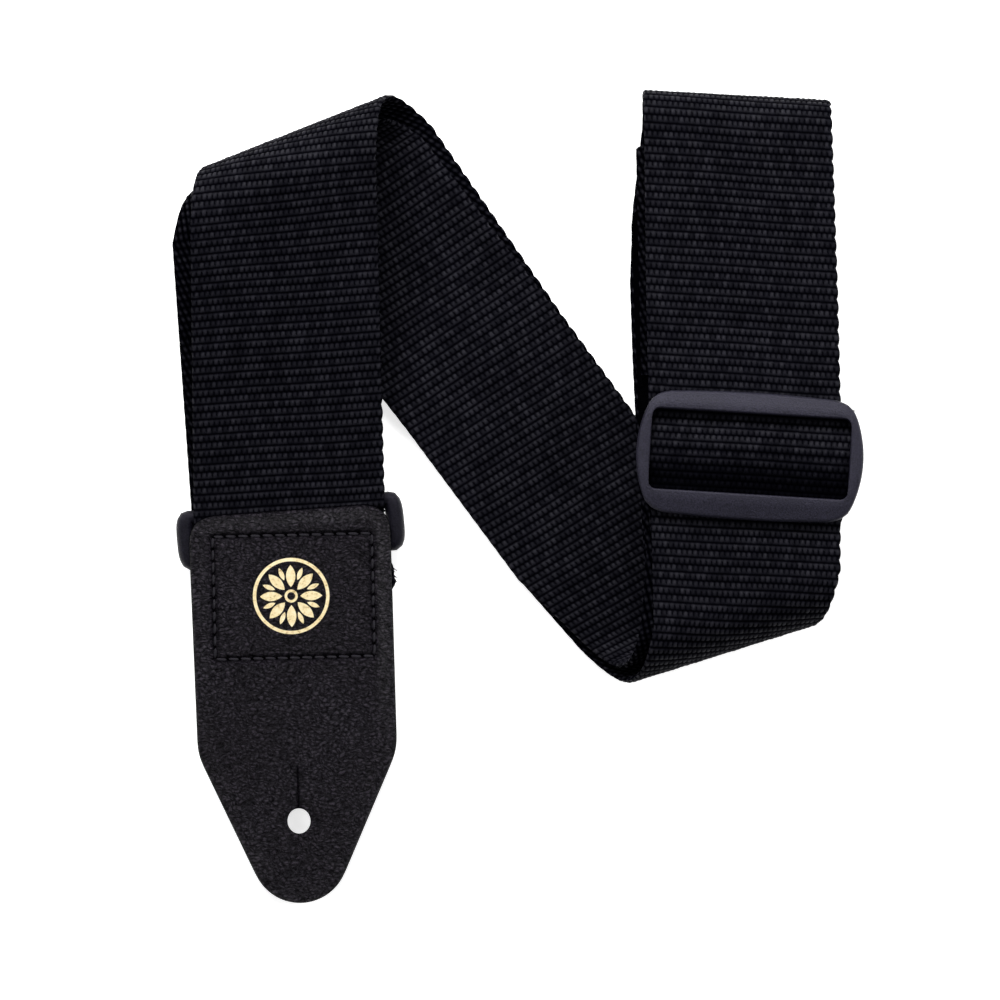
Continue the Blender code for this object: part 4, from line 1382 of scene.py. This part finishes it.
def crest_path():
    """The webbing's hump over the slider's middle bar, seen through the window."""
    slider = slider_frame()
    path = []
    for i in range(37):
        y = lerp(14.0, -13.6, i / 36)
        share = min(1.0, (y - CREST_AT) / CREST_UP) if y > CREST_AT else (CREST_AT - y) / CREST_DOWN
        drop = 0.5 - 0.5 * math.cos(math.pi * min(1.0, share))
        z = CREST_TOP - (CREST_FALL_UP if y > CREST_AT else CREST_FALL_DOWN) * drop
        path.append([slider.at(CREST_MID - CREST_HALF, y, z), slider.at(CREST_MID + CREST_HALF, y, z)])
    return path


def crest_painted_shade(along):
    """Painted shade on the hump: full tone on its upper half, painted darker at its top end, along a
    crease line and down its far side.
    """
    tone_scale = np.interp(along, (0.0, 2.5, 5.0, 12.0, 16.5, 19.0, 24.0), (0.25, 0.7, 1.0, 1.0, 0.8, 0.4, 0.2))
    return tone_scale * (1 - 0.75 * np.exp(-(((along - 13.2) / 0.5) ** 2)))


def inner_end_path():
    """The webbing's last stretch: from inside fold 2, over the middle bar and back under itself."""
    leg = leg_frame()
    slider = slider_frame()
    last = strap_path()[-2]
    path = [last]
    left = (-HALF_WEB,) * 2
    right = (HALF_WEB,) * 2
    path += run(slider, (-15.0, -8.0), BAR_Z + SLIDER_LOOP_R, (0.0, 0.0))
    path += turn(slider, (SLIDER_LOOP_V, BAR_Z), SLIDER_LOOP_R, (180, 0), left, right)
    path += run(slider, (LOOP_UNDER_END + 2.0, LOOP_UNDER_END), BAR_Z - SLIDER_LOOP_R, (0.0, 0.0))
    return path


# ---------------------------------------------------------------------------------------------
# The object

# Along the strap (shares) and the lean of its weft rows there (mm over the width)
SKEW_AT = (0.0, 0.25, 0.30, 0.34, 0.37, 0.41, 0.60, 0.64, 0.66, 0.73, 0.84, 0.88, 0.91, 0.94,
           0.975, 1.0)
SKEW_BY = (0.0, 0.0, -6.9, -7.7, -8.6, -9.6, -10.0, -12.9, -11.7, -11.7, -12.5, -13.3, -12.3, -11.7,
           -11.7, 0.0)
STRAP_SKEW = (SKEW_AT, SKEW_BY)
CREST_AT = 0.4
CREST_TOP = 19.7
CREST_UP = 13.0
CREST_DOWN = 11.0
CREST_FALL_UP = 2.4
CREST_FALL_DOWN = 2.5
CREST_MID = 0.0
CREST_HALF = 26.8


def nearest(ribbon, point):
    """The share along the ribbon whose middle lies nearest a point."""
    middle = ribbon.edges.mean(1)
    return ribbon.share_at(int(np.argmin(np.linalg.norm(middle - point, axis=1))))


def build():
    web = webbing_material()
    hide = leather_material()
    plastic = plastic_material("slider_plastic", ((0.0070, 0.0065, 0.0120), (0.0098, 0.0091, 0.0162)),
                               0.27)
    ring_plastic = plastic_material("ring_plastic",
                                    ((0.0030, 0.0028, 0.0050), (0.0045, 0.0042, 0.0072)), 0.14)
    sewing = thread_material()
    foil = foil_material()
    leg, slider, tab_a, tab_b = leg_frame(), slider_frame(), tab_frame(), tab_b_frame()

    strap = Ribbon(strap_path()[:-1], STRAP_SKEW)
    tail_end = strap.share_at(len(tail_path()) - 1)
    outer_end = strap.share_at(len(tail_path()) + FOLD_STEPS + 1 + 2 + FOLD_STEPS)
    spans = []
    ring_at = nearest(strap, ring_centre(1))
    left_start = outer_end + 0.13
    diag_start = ring_at + 0.11
    spans = [(0.0, tail_end, COARSE), (tail_end, outer_end, FINE), (outer_end, left_start, COARSE),
             (left_start, ring_at, FINE), (ring_at, diag_start, COARSE), (diag_start, 1.0, FINE)]
    piece = web_object("webbing", strap, spans, [(0.0, 1.0, COARSE)], web, (COARSE, 0))
    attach(piece, "strap")
    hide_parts("strap_webbing")

    keeper = Ribbon(keeper_path())
    piece = web_object("webbing_keeper", keeper, [(0.0, 1.0, COARSE)], [(0.0, 1.0, COARSE)], web)
    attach(piece, "tab_a")
    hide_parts("keeper_webbing")

    end = Ribbon(inner_end_path())
    piece = web_object("webbing_slider_end", end, [(0.0, 1.0, COARSE)], [(0.0, 1.0, COARSE)], web,
                       (0, COARSE))
    home = np.array(HOME)
    start = (leg.at(0.0, -29.0, LEG_INNER_MID) - home) * MM
    stop = (leg.at(0.0, -16.5, LEG_INNER_MID) - home) * MM
    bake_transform(piece)
    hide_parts("slider_loop_webbing")

    crest = Ribbon(crest_path())
    piece = web_object("webbing_hump", crest, [(0.0, 1.0, FINE)], [(0.0, 1.0, FINE)], web,
                       (FINE, FINE), crest_painted_shade)
    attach(piece, "slider")

    piece = ring_object(ring_plastic)
    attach(piece, "ring")
    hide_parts("ring")
    piece = slider_object(plastic)
    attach(piece, "slider")
    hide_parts("slider_frame")

    outline, hole = leather_loops()
    for letter, place, thick, body in (("a", tab_a, LEATHER_THICK, "tab_a"),
                                       ("b", tab_b, LEATHER_B_THICK, "strap")):
        piece = leather_object("leather_" + letter, place, thick, hide)
        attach(piece, body)
        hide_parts("tab_" + letter + "_leather")

        def face(x, y, thick=thick):
            flat = np.stack((np.atleast_1d(x), np.atleast_1d(y)), 1).astype(float)
            return thick + leather_rise(flat, outline, hole)

        piece = stitches("stitches_" + letter + "_front", place,
                         lambda x, y, t=thick: t - SEAM_SINK, 1, sewing)
        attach(piece, body)
        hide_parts("tab_" + letter + "_needle_thread")
        if letter == "a":
            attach(mark_object(place, face, foil), body)
            back = keeper_back
        else:
            back = tail_back
        piece = stitches("stitches_" + letter + "_back", place, back, -1, sewing)
        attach(piece, body)
        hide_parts("tab_" + letter + "_bobbin_thread")
    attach(frays(tab_a, web), "tab_a")


def keeper_back(x, y):
    """Height of the underside of the keeper's back ply, or of the leather above it."""
    front_z = -PLY_GAP - HALF_THICK
    flat_z = front_z - WEB_THICK - PLY_GAP
    loop_z = front_z - 2 * LOOP_R
    if y < KEEPER_THREAD_TOP - 1.0:
        return front_z - HALF_THICK
    return lerp(loop_z, flat_z, min(1.0, max(0.0, y / KEEPER_RAMP))) - HALF_THICK


def tail_back(x, y):
    """Height of the face of the pass of webbing that leather end B is sewn to."""
    return -PLY_GAP - WEB_THICK


# ---------------------------------------------------------------------------------------------
# The studio


def area_light(name, place, aim, size, power, colour=(1.0, 1.0, 1.0)):
    data = bpy.data.lights.new(name, "AREA")
    data.shape = "RECTANGLE"
    data.size, data.size_y = size
    data.energy = power
    data.color = colour
    light = bpy.data.objects.new(name, data)
    light.location = place
    light.rotation_euler = (Vector(aim) - Vector(place)).to_track_quat("-Z", "Y").to_euler()
    bpy.context.scene.collection.objects.link(light)


def studio():
    scene = bpy.context.scene
    for kind in (bpy.data.lights,):
        for light in list(kind):
            kind.remove(light)
    world = bpy.data.worlds.new("studio")
    world.use_nodes = True
    back = world.node_tree.nodes["Background"]
    back.inputs["Color"].default_value = (1.0, 1.0, 1.0, 1.0)
    back.inputs["Strength"].default_value = 0.20
    scene.world = world
    n = Nodes("floor")
    n.principled(Base_Color=(0.80, 0.80, 0.80, 1.0), Roughness=0.9, Specular_IOR_Level=0.1,
                 Emission_Color=(1.0, 1.0, 1.0, 1.0), Emission_Strength=0.72)
    size = 3.0
    mesh = bpy.data.meshes.new("floor")
    corners = [(-size, -size, -0.0006), (size, -size, -0.0006), (size, size, -0.0006),
               (-size, size, -0.0006)]
    mesh.from_pydata(corners, [], [(0, 1, 2, 3)])
    mesh.materials.append(n.material)
    floor = bpy.data.objects.new("floor", mesh)
    scene.collection.objects.link(floor)
    area_light("key", (-0.15, 0.85, 0.68), (0.0, 0.0, 0.0), (0.9, 0.45), 20.5)
    area_light("fill", (-1.0, -0.3, 1.1), (0.0, 0.0, 0.0), (0.8, 0.8), 5.5)
    area_light("rim", (1.1, 0.2, 0.8), (0.0, 0.0, 0.0), (0.6, 0.9), 8.0)
    camera = bpy.data.cameras.new("camera")
    camera.lens = 675.0
    camera.sensor_width = 36.0
    camera.clip_end = 20.0
    eye = bpy.data.objects.new("camera", camera)
    eye.location = (-HOME[0] * MM, -HOME[1] * MM, 5.0)
    scene.collection.objects.link(eye)
    scene.camera = eye
    scene.view_settings.view_transform = "Standard"


build()
studio()
